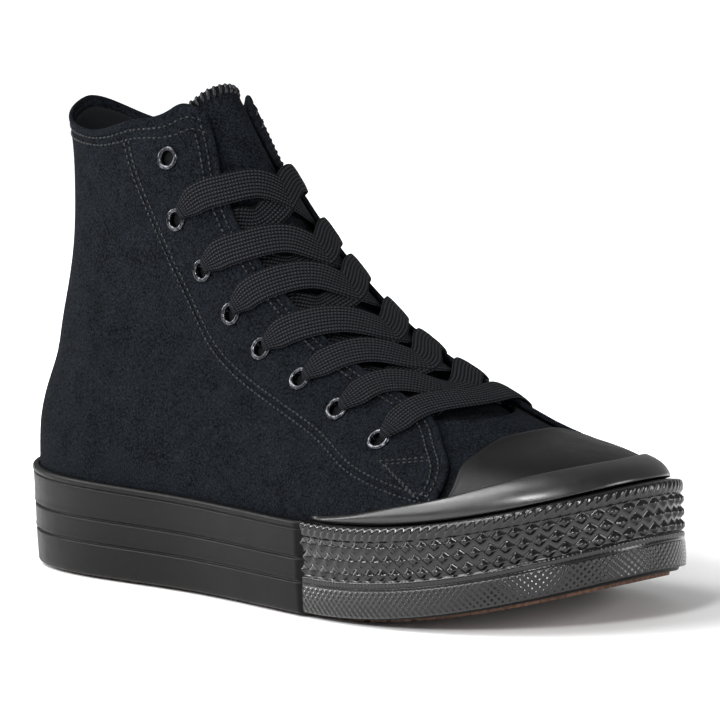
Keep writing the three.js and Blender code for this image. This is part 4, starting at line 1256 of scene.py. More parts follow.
                part = np.linspace(low, high, 60)
                level, turn = (np.interp(part, share, column) for column in places.T)
                rows.append(STITCH.along(Line.over(level, turn, self.overlap_rise)))
        return finish_piece("upper_sewing", Surface.joined(rows), THREAD)

    def build(self) -> None:
        """Makes the whole upper."""
        self.build_quarters()
        self.build_vamp()
        self.build_lining()
        self.sew()


@dataclass
class Tongue:
    """The padded canvas tongue with its whipped top edge."""

    thickness: float = 2.4
    foot: float = 0.42
    top: float = 1.02
    shoulder: float = 0.024
    whip_pitch: float = 2.4
    whip_length: float = 5.0
    depths: tuple[float, float] = (3.8, 4.6)  # of its face under the last's: at its foot, and above
    bulge_height: float = 1.3
    half: Spline = field(
        default_factory=lambda: Spline(
            (0.42, 0.5, 0.58, 0.7, 0.85, 1, 1.03), (0.15, 0.17, 0.19, 0.23, 0.285, 0.335, 0.34)
        )
    )
    under: Spline = field(
        default_factory=lambda: Spline((0.42, 0.5, 0.58, 0.7, 0.85, 1, 1.03), (0, 0.1, 1, 1, 1, 1, 1))
    )

    def face_out(self, level: np.ndarray) -> np.ndarray:
        """Height of its face over the last's."""
        share = np.clip(self.under(level), 0, 1)
        at_foot, above = self.depths
        return -(at_foot + (above - at_foot) * share)

    def bulge(self, level: np.ndarray, across: np.ndarray) -> np.ndarray:
        """How far its middle swells out near the top."""
        middle = 1 - smoothstep(abs(across), 0.3, 0.56)
        return self.bulge_height * smoothstep(level, 0.78, 0.93) * middle

    def top_at(self, across: np.ndarray) -> np.ndarray:
        """Level of its top edge."""
        return self.top - self.shoulder * abs(across) ** 3.5

    def build_body(self) -> bpy.types.Object:
        """Makes the padded sheet."""
        row = spaced(0, 1, 0.016, (0.0015, 0.004, 0.008, 0.014), both=True)[:, None]
        across = spaced(-1, 1, 0.05, (0.01, 0.025, 0.05, 0.09))[None]
        top = self.top_at(across)
        level = self.foot + (top - self.foot) * row
        turn = 1 + across * self.half(level)
        face = LAST.point(level, turn * math.pi)
        normal = LAST.normal(level, turn * math.pi)
        along, sides = lengths(face, 0), lengths(face, 1)
        from_side = np.minimum(sides, sides[:, [-1]] - sides)
        from_top = along[[-1]] - along
        distance = np.minimum(np.minimum(from_side, from_top), along)
        share = rounding(distance, 1.3)
        swell = -0.5 * (1 - smoothstep(from_side, 2, 9)) - 0.25 * hollow(from_side - 4, 0.8)
        swell = swell - 0.2 * hollow(from_top - self.whip_length, 0.9)
        deep = self.thickness / 2
        out = self.face_out(level) - deep
        swell = swell + self.bulge(level, across)
        outer = face + normal * (out + swell + deep * share)[..., None]
        inner = face + normal * (out - deep * share)[..., None]
        return finish_piece("tongue_body", sheet(outer, inner), CANVAS, ["tongue"])

    def sew(self) -> bpy.types.Object:
        """Whips over the top edge and runs a row down both sides."""
        across = np.linspace(-0.93, 0.93, 240)
        level = self.top_at(across) - 0.36 * self.whip_length / RIDGE_RISE
        turn = 1 + across * self.half(level)
        line = Line.over(level, turn, self.face_out(level) + self.bulge(level, across) - 0.1)
        whip = Stitch(self.whip_length, self.whip_pitch, radius=0.75, rise=0.25, dip=0.7, rings=9)
        rows = [whip.along(line, lean=math.radians(66))]
        level = np.linspace(0.6, 0.985, 200)
        for side in (-1, 1):
            turn = 1 + side * (self.half(level) - 0.028)
            rows.append(STITCH.along(Line.over(level, turn, self.face_out(level) - 0.35)))
        return finish_piece("tongue_sewing", Surface.joined(rows), THREAD)

    def build(self) -> None:
        """Makes the whole tongue."""
        self.build_body()
        self.sew()


MATTE = Rubber()
KNURLED = Rubber(
    name="knurled_rubber",
    dark="010101",
    light="080808",
    roughness=0.2,
    grain=0.03,
    knurl=1.25,
    knurl_top=9.0,
    specular=0.55,
)
GLOSS = Rubber(
    name="guard_rubber",
    slot="gloss_rubber",
    dark="050505",
    light="0f0f0f",
    roughness=0.34,
    grain=0.02,
    specular=0.75,
)
SATIN = Rubber(
    name="cap_rubber",
    slot="gloss_rubber",
    dark="030303",
    light="0a0a0a",
    roughness=0.4,
    grain=0.03,
    specular=0.18,
)
GUM = Gum()
METAL = DarkMetal()

BUMPER_START = 181.0
BUMPER_THICKNESS = LAST.bumper_thickness


def sole_angles(step: float, low: float = 0.0, high: float = 2 * math.pi) -> np.ndarray:
    """Angles round the sole, evenly spaced along its outline."""
    fine = np.linspace(low, high, 2400)
    run = lengths(LAST.sole_plan(fine, np.zeros_like(fine)), 0)
    count = max(2, round(run[-1] / step) + 1)
    return np.interp(np.linspace(0, run[-1], count), run, fine)


def angle_at(x: float) -> float:
    """The angle at which the sole's outer side has x."""
    return math.acos(1 - 2 * x / LAST.sole_length)


def inward(outline: np.ndarray) -> np.ndarray:
    """Unit vectors square to a closed outline seen from above, at each of its points."""
    open_ended = np.concatenate([outline[-2:], outline, outline[:2]])
    along = unit(np.gradient(open_ended, axis=0)[2:-2])
    return np.stack([-along[:, 1], along[:, 0]], -1)


@dataclass
class SideWall:
    """The foxing: a rubber wall with a rim strip and two grooves, and the floor of the cup."""

    recess_inset: float = 2.5
    outsole_depth: float = 4.2
    step: float = 2.2
    # Rows up the outer face: share of its height, shift in mm, and how far in from the outline.
    profile: tuple[tuple[float, float, float], ...] = (
        (0, -0.8, 2.5),
        (0, -0.8, 1.15),
        (0, -0.7, 0.75),
        (0, -0.4, 0.42),
        (0, 0.1, 0.22),
        (0, 2.0, 0.16),
        (0.16, 0, 0.1),
        (0.34, -2.2, 0.02),
        (0.34, -1.1, 0.0),
        (0.34, -0.75, 0.08),
        (0.34, -0.5, 0.4),
        (0.34, -0.2, 0.85),
        (0.34, 0.15, 0.85),
        (0.34, 0.35, 0.25),
        (0.34, 0.6, -0.1),
        (0.34, 1.1, -0.14),
        (0.34, 1.7, -0.02),
        (0.34, 2.4, 0.04),
        (0.6, -2.2, 0.05),
        (0.6, -1.1, 0.02),
        (0.6, -0.75, 0.1),
        (0.6, -0.5, 0.45),
        (0.6, -0.2, 0.88),
        (0.6, 0.15, 0.88),
        (0.6, 0.35, 0.25),
        (0.6, 0.6, -0.1),
        (0.6, 1.1, -0.14),
        (0.6, 1.8, 0.0),
        (0.6, 3.0, 0.06),
        (1, -5.0, 0.06),
        (1, -3.2, 0.06),
        (1, -2.9, 0.12),
        (1, -2.75, 0.5),
        (1, -2.6, 0.62),
        (1, -2.42, 0.5),
        (1, -2.28, 0.1),
        (1, -2.0, -0.1),
        (1, -1.5, -0.16),
        (1, -1.0, -0.1),
        (1, -0.5, 0.08),
        (1, -0.18, 0.38),
        (1, 0.0, 0.85),
        (1, 0.05, 1.4),
    )

    def build(self) -> bpy.types.Object:
        """Makes the wall as one closed band."""
        phi = sole_angles(self.step)[:-1]
        start = angle_at(BUMPER_START)
        behind = ((phi >= start) & (phi <= 2 * math.pi - start)).astype(float)
        recess = np.full_like(phi, self.recess_inset)
        inner_plan = LAST.sole_plan(phi, recess + behind * (BUMPER_THICKNESS + GAP))
        height = self.outsole_depth + GAP + LAST.spring_at(inner_plan[:, 0])
        rows = [np.column_stack([inner_plan, height])]
        for share, shift, inset in self.profile:
            grooved = inset if share in (0, 1) and abs(shift) < 2.2 else inset * (1 - behind)
            place = LAST.sole_plan(phi, grooved + behind * (BUMPER_THICKNESS + GAP))
            foot, top = LAST.rim_at(place[:, 0]), LAST.foxing_top(phi)
            rows.append(np.column_stack([place, foot + (top - foot) * share + shift]))
        upper_plan = self.upper_plan(phi)
        top = LAST.foxing_top(phi)
        bed = LAST.bed_at(upper_plan[:, 0])
        for level in (top - 0.3, (top + bed) / 2, bed):
            rows.append(np.column_stack([upper_plan, level]))
        return finish_piece("foxing", self.closed(np.stack(rows)), MATTE, ["sidewall"])

    @staticmethod
    def upper_plan(phi: np.ndarray) -> np.ndarray:
        """The cup's inner face: the upper's foot and a gap."""
        point = LAST.point(np.full_like(phi, FOOT_LEVEL), phi)[:, :2]
        return point - inward(point) * GAP

    @staticmethod
    def closed(grid: np.ndarray) -> Surface:
        """A stack of rings, shut across its first and last ring by strips over to the other side."""
        rows, columns = grid.shape[:2]
        faces = [grid_faces(rows, columns, wraps=True)]
        half = np.arange(columns // 2)
        for row, flip in ((0, True), (rows - 1, False)):
            a, b = half, half + 1
            quads = np.stack([a, b, (columns - b) % columns, (columns - a) % columns], -1)
            quads = quads[(quads[:, 1] != quads[:, 2]) & (quads[:, 0] != quads[:, 3])] + row * columns
            faces.append(quads[:, ::-1] if flip else quads)
        points = grid.reshape(-1, 3)
        cloth = cloth_of(grid).reshape(-1, 2)
        return Surface(points, np.concatenate(faces), cloth)


@dataclass
class ToeBumper:
    """The textured rubber band round the toe: bulged foot, ribs, diamonds and a roped top."""

    step: float = 0.42
    rows: int = 84
    foot_top: float = 0.33
    ribs_top: float = 0.4
    rib_pitch: float = 1.5
    diamonds_top: float = 0.84
    diamond_pitch: float = 5.6
    diamond_rows: int = 3
    rope_pitch: float = 3.4

    def relief(self, run: np.ndarray, share: np.ndarray) -> np.ndarray:
        """How far the face lies in from the outline.

        Args:
            run: millimetres along the band.
            share: share of its height.

        Returns:
            Depths in mm, 0 at the outermost.
        """
        depth = np.full(np.broadcast_shapes(run.shape, share.shape), 0.75)
        # The foot bulges out. Its knurling is in the finish.
        foot = share / self.foot_top
        bulge = 0.32 - 0.3 * np.sin(np.clip(foot, 0, 1) * math.pi) ** 0.6
        depth = np.where(share < self.foot_top, bulge, depth)
        # A narrow strip of upright ribs.
        rib = (share - self.foot_top) / (self.ribs_top - self.foot_top)
        crest = np.clip(np.sin(np.clip(rib, 0, 1) * math.pi) * 1.5, 0, 1)
        ribs = 0.62 - 0.38 * abs(np.sin(run * math.pi / self.rib_pitch)) * crest
        depth = np.where((share >= self.foot_top) & (share < self.ribs_top), ribs, depth)
        # Raised diamonds in rows, each row half a pitch on.
        span = (self.diamonds_top - self.ribs_top) / self.diamond_rows
        row = np.floor((share - self.ribs_top) / span)
        within = (share - self.ribs_top) / span - row
        column = run / self.diamond_pitch + 0.5 * row
        beside = abs(column - np.round(column)) * 2
        tall = abs(within - 0.5) * 2
        edge = 1.02 - beside - tall * 0.98
        diamonds = 1.4 - 1.35 * np.clip(edge * 1.55, 0, 1)
        in_band = (share >= self.ribs_top) & (share < self.diamonds_top)
        depth = np.where(in_band, diamonds, depth)
        # The roped top: slanted strands.
        rope = (share - self.diamonds_top) / (1 - self.diamonds_top)
        strand = abs(np.sin((run / self.rope_pitch - rope * 0.75) * math.pi))
        round_off = np.sin(np.clip(rope, 0, 1) * math.pi) ** 0.5
        roped = 1.2 - round_off * (0.4 + 0.75 * strand**0.6)
        return np.where(share >= self.diamonds_top, roped, depth)

    def build(self) -> bpy.types.Object:
        """Makes the band."""
        start = angle_at(BUMPER_START)
        phi = sole_angles(self.step, start, 2 * math.pi - start)
        plan = LAST.sole_plan(phi, np.zeros_like(phi))
        run = lengths(plan, 0)
        share = np.linspace(0, 1, self.rows)
        foot, top = LAST.rim_at(plan[:, 0]), LAST.foxing_top(phi)
        height = float((top - foot).mean())
        depth = self.relief(run[None], share[:, None])
        end = np.minimum(run, run[-1] - run)
        depth = depth + (1.4 - depth) * (1 - smoothstep(end, 0.0, 0.8))[None]
        rim = np.minimum(share, 1 - share)[:, None] * height
        depth = depth + 0.5 * (1 - rounding(rim, 0.8))

        def face(insets: np.ndarray) -> np.ndarray:
            rows = [
                np.column_stack([LAST.sole_plan(phi, inset), foot + (top - foot) * row])
                for row, inset in zip(share, insets)
            ]
            return np.stack(rows)

        back = face(np.full_like(depth, BUMPER_THICKNESS))
        return finish_piece("bumper", sheet(face(depth), back), KNURLED, ["toe_bumper"])


@dataclass
class ToeGuard:
    """The glossy band over the toe cap's foot, which tapers out along both sides."""

    start: float = 0.59
    thickness: float = 1.6
    top: Spline = field(
        default_factory=lambda: Spline(
            (0.58, 0.635, 0.676, 0.755, 0.82, 0.89, 1), (0.115, 0.15, 0.18, 0.221, 0.252, 0.265, 0.262)
        )
    )

    def build(self) -> bpy.types.Object:
        """Makes the band, domed and with a rounded top edge."""
        across = np.linspace(-1, 1, 241)
        turn = 1 - (1 - self.start) * abs(across)
        phi = math.pi * np.where(across <= 0, turn, 2 - turn)
        probe = 0.02
        base = LAST.point(np.full_like(phi, FOOT_LEVEL), phi)[:, 2]
        rate = (LAST.point(np.full_like(phi, FOOT_LEVEL + probe), phi)[:, 2] - base) / probe
        foot = FOOT_LEVEL + 0.15 / rate
        head = np.maximum(self.top(turn), foot + 1 / rate)
        share = spaced(0, 1, 0.06, (0.01, 0.03, 0.06, 0.1, 0.15))[:, None]
        level = foot + (head - foot) * share
        angle = np.broadcast_to(phi, level.shape)
        face, normal = LAST.point(level, angle), LAST.normal(level, angle)
        along = lengths(face, 0)
        rise = np.minimum(rounding(along[[-1]] - along, 1.4), rounding(along + 0.2, 0.5))
        rise = rise * (0.7 + 0.5 * np.sin(share * math.pi) ** 0.8)
        taper = np.clip((1 - abs(across)) / 0.04, 0.15, 1)
        outer = face + normal * (GAP * 0.5 + self.thickness * rise * taper)[..., None]
        inner = face + normal * 0.05
        return finish_piece("toe_band", sheet(outer, inner), GLOSS, ["toe_guard"])


@dataclass
class ToeCap:
    """The smooth rubber cap over the toes."""

    thickness: float = 1.3
    corner: float = 0.749
    foot: float = 0.115
    margin: float = 0.012
    rear: Spline = field(
        default_factory=lambda: Spline(
            (0.749, 0.778, 0.825, 0.904, 0.975, 1), (0.235, 0.326, 0.393, 0.446, 0.457, 0.458)
        )
    )

    def build(self) -> bpy.types.Object:
        """Makes the cap with a thin rounded rear edge and a faint bead along it."""
        across = spaced(-1, 1, 0.022, (0.003, 0.008, 0.015))
        share = spaced(0, 1, 0.035, (0.004, 0.01, 0.018, 0.03), both=False)[:, None]
        foot = QUARTER_EDGE(self.foot) + self.margin
        corner = QUARTER_EDGE(self.rear(self.corner)) + self.margin
        start = foot + (corner - foot) * share
        turn = 1 - (1 - start) * abs(across)
        head = self.rear(1 - (1 - self.corner) * abs(across))
        level = self.foot + (head - self.foot) * share
        phi = math.pi * np.where(across <= 0, turn, 2 - turn)
        face, normal = LAST.point(level, phi), LAST.normal(level, phi)
        along = lengths(face, 0)
        from_rear = along[[-1]] - along
        rise = rounding(from_rear, 0.7)
        bead = 0.14 * hollow(from_rear - 1.4, 0.9)
        outer = face + normal * (-self.thickness * 0.55 * (1 - rise) + bead)[..., None]
        inner = face - normal * self.thickness
        return finish_piece("toe_shell", sheet(outer, inner), SATIN, ["toe_cap"])


@dataclass
class Tread:
    """The gum outsole: cross bars under heel and forefoot, with a saw-toothed edge."""

    depth: float = 4.2
    lug_depth: float = 1.3
    lug_pitch: float = 9.5
    lug_groove: float = 2.4
    arch_lift: float = 1.2
    waist: tuple[float, float] = (0.3, 0.45)
    inset: float = 3.4
    tooth_pitch: float = 3.1
    tooth_depth: float = 0.7
    stations: int = 560
    across: int = 30

    def lift(self, x: np.ndarray) -> np.ndarray:
        """How far the tread's underside stands off the ground line at x."""
        length = LAST.sole_length - BUMPER_THICKNESS - GAP - 2 * self.inset
        pitch = length / math.floor(length / self.lug_pitch)
        place = (x - self.inset) / pitch
        gap = abs(place - np.round(place)) * pitch
        grooves = self.lug_depth * (1 - smoothstep(gap, self.lug_groove * 0.3, self.lug_groove * 0.55))
        low, high = (share * LAST.sole_length for share in self.waist)
        in_waist = smoothstep(x, low - 1, low + 2) * (1 - smoothstep(x, high - 2, high + 1))
        ends = smoothstep(x, 6, 9) * (1 - smoothstep(x, LAST.sole_length - 16, LAST.sole_length - 12))
        return grooves * (1 - in_waist) * ends + self.arch_lift * in_waist

    def build(self) -> bpy.types.Object:
        """Makes the plate as a sheet from side to side."""
        length = LAST.sole_length
        share = (1 - np.cos(np.linspace(0.0001, math.pi - 0.0001, self.stations))) / 2
        phi = np.arccos(1 - 2 * share)
        past_start = smoothstep(share * length, BUMPER_START - self.lug_pitch, BUMPER_START)
        bumper = (BUMPER_THICKNESS + GAP) * past_start
        edges = []
        for side in Side:
            angle = side.value * phi
            run = lengths(LAST.sole_plan(angle, np.zeros_like(angle)), 0)
            tooth = abs((run / self.tooth_pitch) % 1 - 0.5) * 2
            teeth = self.tooth_depth * np.clip(tooth * 1.6 - 0.3, 0, 1)
            edges.append(LAST.sole_plan(angle, self.inset + bumper + teeth))
        t = spaced(0, 1, 1 / self.across, (0.002, 0.006, 0.012, 0.022))
        plan = edges[1][None] + (edges[0] - edges[1])[None] * t[:, None, None]
        x = plan[..., 0]
        spring = LAST.spring_at(x)
        low = np.concatenate([plan, (spring + self.lift(x))[..., None]], -1)
        high = np.concatenate([plan, (spring + self.depth)[..., None]], -1)
        return finish_piece("tread", sheet(low, high), GUM, ["outsole"], sharp=40)


@dataclass
class Footbed:
    """The insole: a thin cloth-covered pad on the cup's floor."""

    # Rows from its foot to its top: how far in from the outline, and how high, mm.
    edge_rows: tuple[tuple[float, float], ...] = (
        (1.2, 0.0),
        (0.3, 0.3),
        (0.0, 1.2),
        (0.1, 2.6),
        (0.6, 3.2),
        (1.6, 3.45),
        (4.0, 3.5),
    )

    def build(self) -> bpy.types.Object:
        """Makes the pad with a soft rounded edge."""
        phi = sole_angles(4.0)[:-1]
        turn = np.where(phi > math.pi, 2 * math.pi - phi, phi) / math.pi
        inset = 2.0 + (3.5 - 2.0) * smoothstep(turn, 0.55, 0.7) + 2 * GAP
        outline = SideWall.upper_plan(phi)
        square = inward(outline)
        rows = []
        for moved, height in self.edge_rows:
            plan = outline + square * (inset + GAP + moved)[:, None]
            rows.append(np.column_stack([plan, LAST.bed_at(plan[:, 0]) + GAP + height]))
        return finish_piece("footbed", SideWall.closed(np.stack(rows)), LINING, ["insole"])


@dataclass
class Eyelets:
    """Rolled metal eyelets in two rows of eight."""

    hole: float = 5.0
    wall: float = 0.4
    diameter: float = 8.4
    seat: float = 0.45
    flange: float = 0.8
    around: int = 44

    def profile(self) -> np.ndarray:
        """Radius and height of its section, once round, from the barrel's foot."""
        hole, flange = self.hole / 2, self.diameter / 2
        top = self.seat + self.flange
        middle = (hole + flange) / 2
        rows = [(hole + 0.25, -2.1), (hole + 0.02, -1.2), (hole, self.seat - 0.1)]
        for share in np.linspace(0, 1, 11):
            angle = math.pi * share
            radius = middle - (middle - hole) * math.cos(angle)
            rows.append((radius, self.seat + (top - self.seat) * math.sin(angle) ** 0.75))
        rows += [(flange - 0.15, 0.22), (flange - 0.7, 0.2), (hole + self.wall + 0.2, 0.2)]
        rows += [(hole + self.wall, -0.2), (hole + self.wall, -1.6), (hole + self.wall + 0.1, -2.05)]
        return np.array(rows)

    def build(self) -> bpy.types.Object:
        """Makes all of them as one piece."""
        section = self.profile()
        angle = np.arange(self.around) * 2 * math.pi / self.around
        parts = []
        for side in Side:
            for level, turn, _ in EYELETS:
                phi = side.value * turn * math.pi
                seat, axis = LAST.point(level, phi), LAST.normal(level, phi)
                first = unit(np.cross(axis, [0.0, 0.0, 1.0]))
                second = np.cross(axis, first)
                ring = first * np.cos(angle)[:, None] + second * np.sin(angle)[:, None]
                points = seat + ring[None] * section[:, None, :1] + axis * section[:, None, 1:]
                rows = len(section)
                grid = grid_faces(rows + 1, self.around, wraps=True)
                faces = np.where(grid >= rows * self.around, grid - rows * self.around, grid)
                parts.append(Surface(points.reshape(-1, 3), faces, np.zeros((rows * self.around, 2))))
        numbers = range(1, len(EYELETS) + 1)
        nodes = [f"eyelet_{side.name.lower()}_{number}" for side in Side for number in numbers]
        return finish_piece("eyelet_rings", Surface.joined(parts), METAL, nodes)


@dataclass
class Laces:
    """The flat lace: seven crossings, and the ends hidden under the quarters."""

    width: float = 11.4
    thickness: float = 1.5
    end_width: float = 4.0
    # Each outer strap's middle line from its eyelet to its crest: level and turn.
    routes: tuple[tuple[tuple[float, float], ...], ...] = (
        ((0.434, 0.719), (0.485, 0.773), (0.522, 0.833), (0.541, 0.9)),
        ((0.497, 0.688), (0.54, 0.744), (0.576, 0.808), (0.588, 0.89)),
        ((0.555, 0.662), (0.594, 0.714), (0.633, 0.792), (0.65, 0.885)),
        ((0.617, 0.628), (0.658, 0.694), (0.685, 0.768), (0.7, 0.89)),
        ((0.683, 0.612), (0.725, 0.686), (0.754, 0.776), (0.767, 0.9)),
        ((0.754, 0.6), (0.785, 0.667), (0.805, 0.746), (0.82, 0.9)),
        ((0.84, 0.606), (0.873, 0.693), (0.887, 0.797), (0.891, 0.91)),
    )
    # Levels at which the straps cross the quarters' edges.
    at_edge: tuple[float, ...] = tuple(edge for _, _, edge in EYELETS[:-1])

    def hidden_end(self, side: Side) -> Line:
        """The route of the end under one quarter, as in the part's source."""
        first, last = (LAST.point(level, turn * math.pi)[[0, 2]] for level, turn, _ in EYELETS[-2:])
        middle = (first + last) / 2
        down = first - middle
        forward = np.array([-down[1], down[0]])
        angle = np.linspace(0, math.pi, 25)[:, None]
        route = middle + down * np.cos(angle) + forward * np.sin(angle)
        level, phi = on_side(route[:, 0], route[:, 1], side)
        return Line.over(level, phi / math.pi, -3.3)

    def build_ends(self) -> None:
        for side in Side:
            line = self.hidden_end(side)
            even = line.spaced(line.run()[-1] / 24)
            full = np.ones(len(even.points))
            part = Ribbon(self.end_width, self.thickness).swept(even, full, full)
            name = side.name.lower()
            made = finish_piece(f"lace_tip_{name}", part, WEBBING, [f"lace_end_{name}"])
            path = [tuple(p) for p in (even.points - ORIGIN) * MM]
            float(even.run()[-1]) * MM

    def near_stops(self, index: int, low: float) -> list[tuple[float, float, float]]:
        """Level, turn and height of a strap's stops from its eyelet to its crest."""
        heights = (1.5, 1.75, 1.65, 1.0 - low)
        return [(level, turn, out) for (level, turn), out in zip(self.routes[index], heights)]

    def strap(self, index: int, side: Side) -> Surface:
        """One strap from inside its eyelet, over the throat, and in under the other quarter."""
        near = self.at_edge[index]
        tuck = (self.at_edge[index - 1] + near) / 2
        far_edge = 2 - float(QUARTER_EDGE(tuck))
        next_level, next_turn, _ = EYELETS[index - 1]
        # The inner strap passes below the outer one, and both straps next to the bar lie lower.
        low = (0.35 if index == 1 else 0.0) + (0.25 if side is Side.INNER else 0.0)
        drop = 1.1 if index == 1 else 0.0
        stops = [
            *self.near_stops(index, low),
            (near + (tuck - near) * 0.22, 1.0, -0.2 - drop),
            (near + (tuck - near) * 0.7, 1.1, -1.9),
            (tuck, far_edge - 0.05, -2.9),
            (tuck - 0.004, far_edge + 0.02, -3.15),
            ((tuck + next_level) / 2, (far_edge + 2 - next_turn) / 2, -3.2),
            (next_level, 2 - next_turn, -3.2),
        ]
        if side is Side.INNER:
            stops = [(level, 2 - turn, out) for level, turn, out in stops]
        return self.through_eyelet(self.along(stops))

    def bar(self) -> Surface:
        """The lowest strap, straight over the foot of the throat into both lowest eyelets."""
        near = self.near_stops(0, 0.0)
        stops = [*near, (0.544, 1.0, 1.0), *[(level, 2 - turn, out) for level, turn, out in near[::-1]]]
        line = self.along(stops)
        half = line.run()[-1] / 2
        return self.through_eyelet(line, mirror_at=half)

    @staticmethod
    def along(stops: Sequence[tuple[float, float, float]]) -> Line:
        """A smooth line through stops of level, turn and height."""
        points = np.array(stops)
        flat = LAST.offset(points[:, 0], points[:, 1] * math.pi, points[:, 2])
        run = lengths(flat, 0)
        fine = Spline(run, points)(np.linspace(0, run[-1], 200))
        return Line.over(fine[:, 0], fine[:, 1], fine[:, 2])

    def through_eyelet(self, line: Line, mirror_at: float | None = None) -> Surface:
        """Sweeps a strap which rises gathered through its eyelet and spreads out beyond it.

        Args:
            line: the strap's middle over the shoe.
            mirror_at: where the strap turns back to a second eyelet, or None if it has only one.

        Returns:
            The strap.
        """
        even = line.spaced(0.8)
        run = even.run()
        if mirror_at is not None:
            run = mirror_at - abs(run - mirror_at)
        sunk = 4.8 * (1 - smoothstep(run, -0.6, 3.4))
        points = even.points - even.normals * sunk[:, None]
        spread = 0.42 + 0.58 * smoothstep(run, 1.2, 10.5)
        depth = 1.5 - 0.5 * smoothstep(run, 2.5, 8.0)
        moved = Line(points, even.normals)
        return Ribbon(self.width, self.thickness).swept(moved, spread, depth)

    def build(self) -> None:
        """Makes the seven crossings."""
        for index in range(len(self.routes)):
            straps = [self.bar()] if index == 0 else [self.strap(index, side) for side in Side]
            name = f"lace_pair_{index + 1}"
            finish_piece(name, Surface.joined(straps), WEBBING, [f"lace_crossing_{index + 1}"])


@dataclass
class AnklePatch:
    """The bare round rubber patch on the inner side of the ankle."""

    diameter: float = 46.0
    thickness: float = 1.2
    from_heel: float = 58.0
    height: float = 100.0
    rim: float = 2.2

    def build(self) -> None:
        """Makes the patch with a groove inside its rim."""
        radius = self.diameter / 2
        rings = spaced(0.4, radius, 1.1, (0.1, 0.3, 0.6, 1.0, 1.5, 1.9, 2.1, 2.3, 2.6, 3.2), both=False)
        around = 72
        angle = np.arange(around) * 2 * math.pi / around
        x = self.from_heel + rings[:, None] * np.cos(angle)
        z = self.height + rings[:, None] * np.sin(angle)
        level, phi = on_side(x, z, Side.INNER)
        face, normal = LAST.point(level, phi), LAST.normal(level, phi)
        distance = radius - rings[:, None]
        rise = rounding(distance, 0.8)
        groove = 0.3 * hollow(distance - self.rim, 0.35)
        outer = face + normal * (0.05 + self.thickness * rise - groove)[..., None]
        inner = face + normal * 0.05

        def shut(face_rings: np.ndarray) -> np.ndarray:
            """The rings with their centre put before them."""
            centre = face_rings[:1].mean(axis=1, keepdims=True)
            return np.concatenate([np.broadcast_to(centre, face_rings[:1].shape), face_rings])

        part = sheet(shut(outer), shut(inner), wraps=True)
        finish_piece("ankle_disc", part, SATIN, ["ankle_patch"])


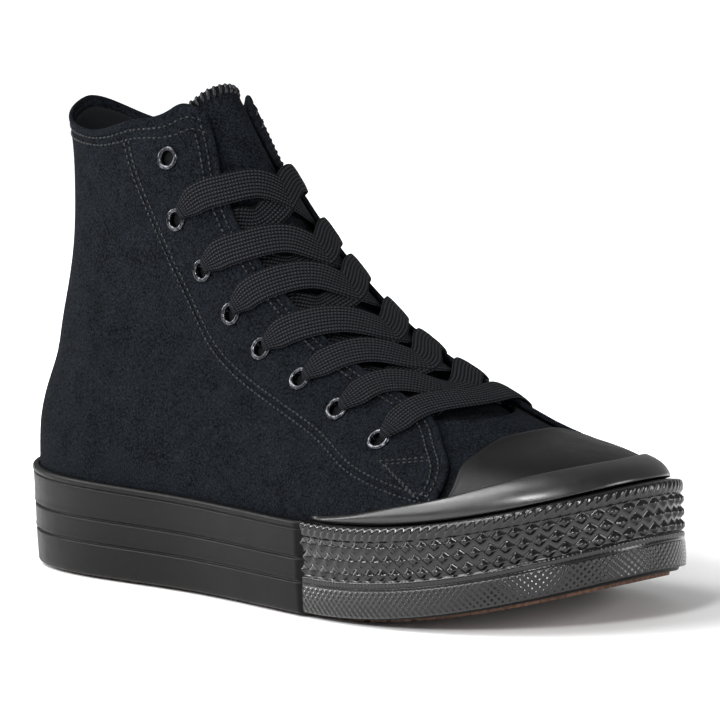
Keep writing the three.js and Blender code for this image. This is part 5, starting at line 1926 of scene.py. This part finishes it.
@dataclass
class Studio:
    """Camera, lights and the pale floor."""

    aim: tuple[float, float, float] = (0.06781, 0.03798, 0.066)
    distance: float = 1.6
    azimuth: float = 45.4
    elevation: float = 7.75
    roll: float = -2.5
    focal: float = 2757.0  # pixels for a picture 720 wide, for both shoes
    shift: tuple[float, float] = (-112.0, 20.0)  # from there to the middle of the near shoe, pixels
    lens: float = 236.3
    sensor: float = 36.0
    # Name, place in metres, size in metres and power in watts of each light.
    lights: tuple[tuple[str, tuple[float, float, float], float, float], ...] = (
        ("overhead", (-0.5, -0.4, 1.2), 0.6, 8),
        ("front_left", (-0.6, -0.9, 0.9), 1.1, 15),
        ("front", (0.55, -1.1, 0.85), 0.28, 11),
        ("left", (-1.3, -0.6, 0.55), 0.28, 7),
        ("right", (1.5, 0.35, 0.5), 0.6, 10),
    )
    lit_at: tuple[float, float, float] = (0, 0, 0.06)  # where the lights aim
    fill: float = 0.35  # strength of the surroundings as light
    backdrop: float = 1.1  # their strength as seen behind the shoe
    glow_from: tuple[float, float] = (0.01, 0.12)  # square of the distance at which the floor brightens

    def set_camera(self) -> None:
        """Stands the camera where the photograph was taken from, turned to the one shoe."""
        around, above, tilt = (math.radians(v) for v in (self.azimuth, self.elevation, self.roll))
        flat = math.cos(above)
        back = np.array([math.sin(around) * flat, -math.cos(around) * flat, math.sin(above)])
        right = np.array([math.cos(around), math.sin(around), 0.0])
        up = np.cross(back, right)
        right, up = (
            right * math.cos(tilt) + up * math.sin(tilt),
            up * math.cos(tilt) - right * math.sin(tilt),
        )
        place = np.array(self.aim) + self.distance * back
        ahead = unit(-back + (right * self.shift[0] + up * self.shift[1]) / self.focal)
        side = unit(np.cross(ahead, up))
        top = np.cross(side, ahead)
        matrix = Matrix([[side[i], top[i], -ahead[i], place[i]] for i in range(3)] + [[0, 0, 0, 1]])
        data = bpy.data.cameras.new("camera")
        data.lens = self.lens
        data.sensor_width = self.sensor
        data.clip_start = 0.05
        camera = bpy.data.objects.new("camera", data)
        camera.matrix_world = matrix
        bpy.context.scene.collection.objects.link(camera)
        bpy.context.scene.camera = camera

    def add_area(self, name: str, place: Sequence[float], size: float, power: float) -> None:
        """Adds a square soft light that faces the shoe."""
        data = bpy.data.lights.new(name, "AREA")
        data.size = size
        data.energy = power
        light = bpy.data.objects.new(name, data)
        light.location = place
        light.rotation_euler = (Vector(self.lit_at) - Vector(place)).to_track_quat("-Z", "Y").to_euler()
        bpy.context.scene.collection.objects.link(light)

    def light(self) -> None:
        """Adds the lights and the white surroundings."""
        for name, place, size, power in self.lights:
            self.add_area(name, place, size, power)
        world = bpy.data.worlds.new("surroundings")
        world.use_nodes = True
        tree = world.node_tree
        back = tree.nodes["Background"]
        back.inputs["Color"].default_value = (1, 1, 1, 1)
        path = tree.nodes.new("ShaderNodeLightPath")
        strength = tree.nodes.new("ShaderNodeMapRange")
        strength.inputs["To Min"].default_value = self.fill
        strength.inputs["To Max"].default_value = self.backdrop
        tree.links.new(path.outputs["Is Camera Ray"], strength.inputs["Value"])
        tree.links.new(strength.outputs["Result"], back.inputs["Strength"])
        bpy.context.scene.world = world
        bpy.context.scene.view_settings.view_transform = "Standard"

    def lay_floor(self) -> None:
        """Lays the pale floor, which glows a little away from the shoe."""
        mesh = bpy.data.meshes.new("floor")
        corners = [(-6, -6), (6, -6), (6, 6), (-6, 6)]
        mesh.from_pydata([(x, y, -0.0002) for x, y in corners], [], [(0, 1, 2, 3)])
        shader = Shader("floor_paper")
        white = (0.92, 0.92, 0.92, 1)
        x, y, _ = shader.axes(shader.place())
        glow = shader.mix((x * x + y * y).step(*self.glow_from), (0, 0, 0, 1), (1, 1, 1, 1))
        paper = shader.done(
            Base_Color=white,
            Roughness=0.9,
            Specular_IOR_Level=0.1,
            Emission_Color=glow,
            Emission_Strength=0.75,
        )
        mesh.materials.append(paper)
        floor = bpy.data.objects.new("floor", mesh)
        bpy.context.scene.collection.objects.link(floor)


def report(name: str, work: Callable[[], object]) -> None:
    """Does one piece of work and logs it."""
    work()
    LOG.info("%s done", name)


def main() -> None:
    """Builds the scene piece by piece."""
    logging.basicConfig(level=logging.INFO, format="%(message)s")
    studio = Studio()
    laces = Laces()
    steps: list[tuple[str, Callable[[], object]]] = [
        ("camera", studio.set_camera),
        ("lace ends", laces.build_ends),
        ("lights", studio.light),
        ("floor", studio.lay_floor),
        ("upper", Upper().build),
        ("tongue", Tongue().build),
        ("side wall", SideWall().build),
        ("toe bumper", ToeBumper().build),
        ("toe guard", ToeGuard().build),
        ("toe cap", ToeCap().build),
        ("tread", Tread().build),
        ("footbed", Footbed().build),
        ("eyelets", Eyelets().build),
        ("laces", laces.build),
        ("ankle patch", AnklePatch().build),
    ]
    for name, work in steps:
        report(name, work)


if __name__ == "__main__":
    main()
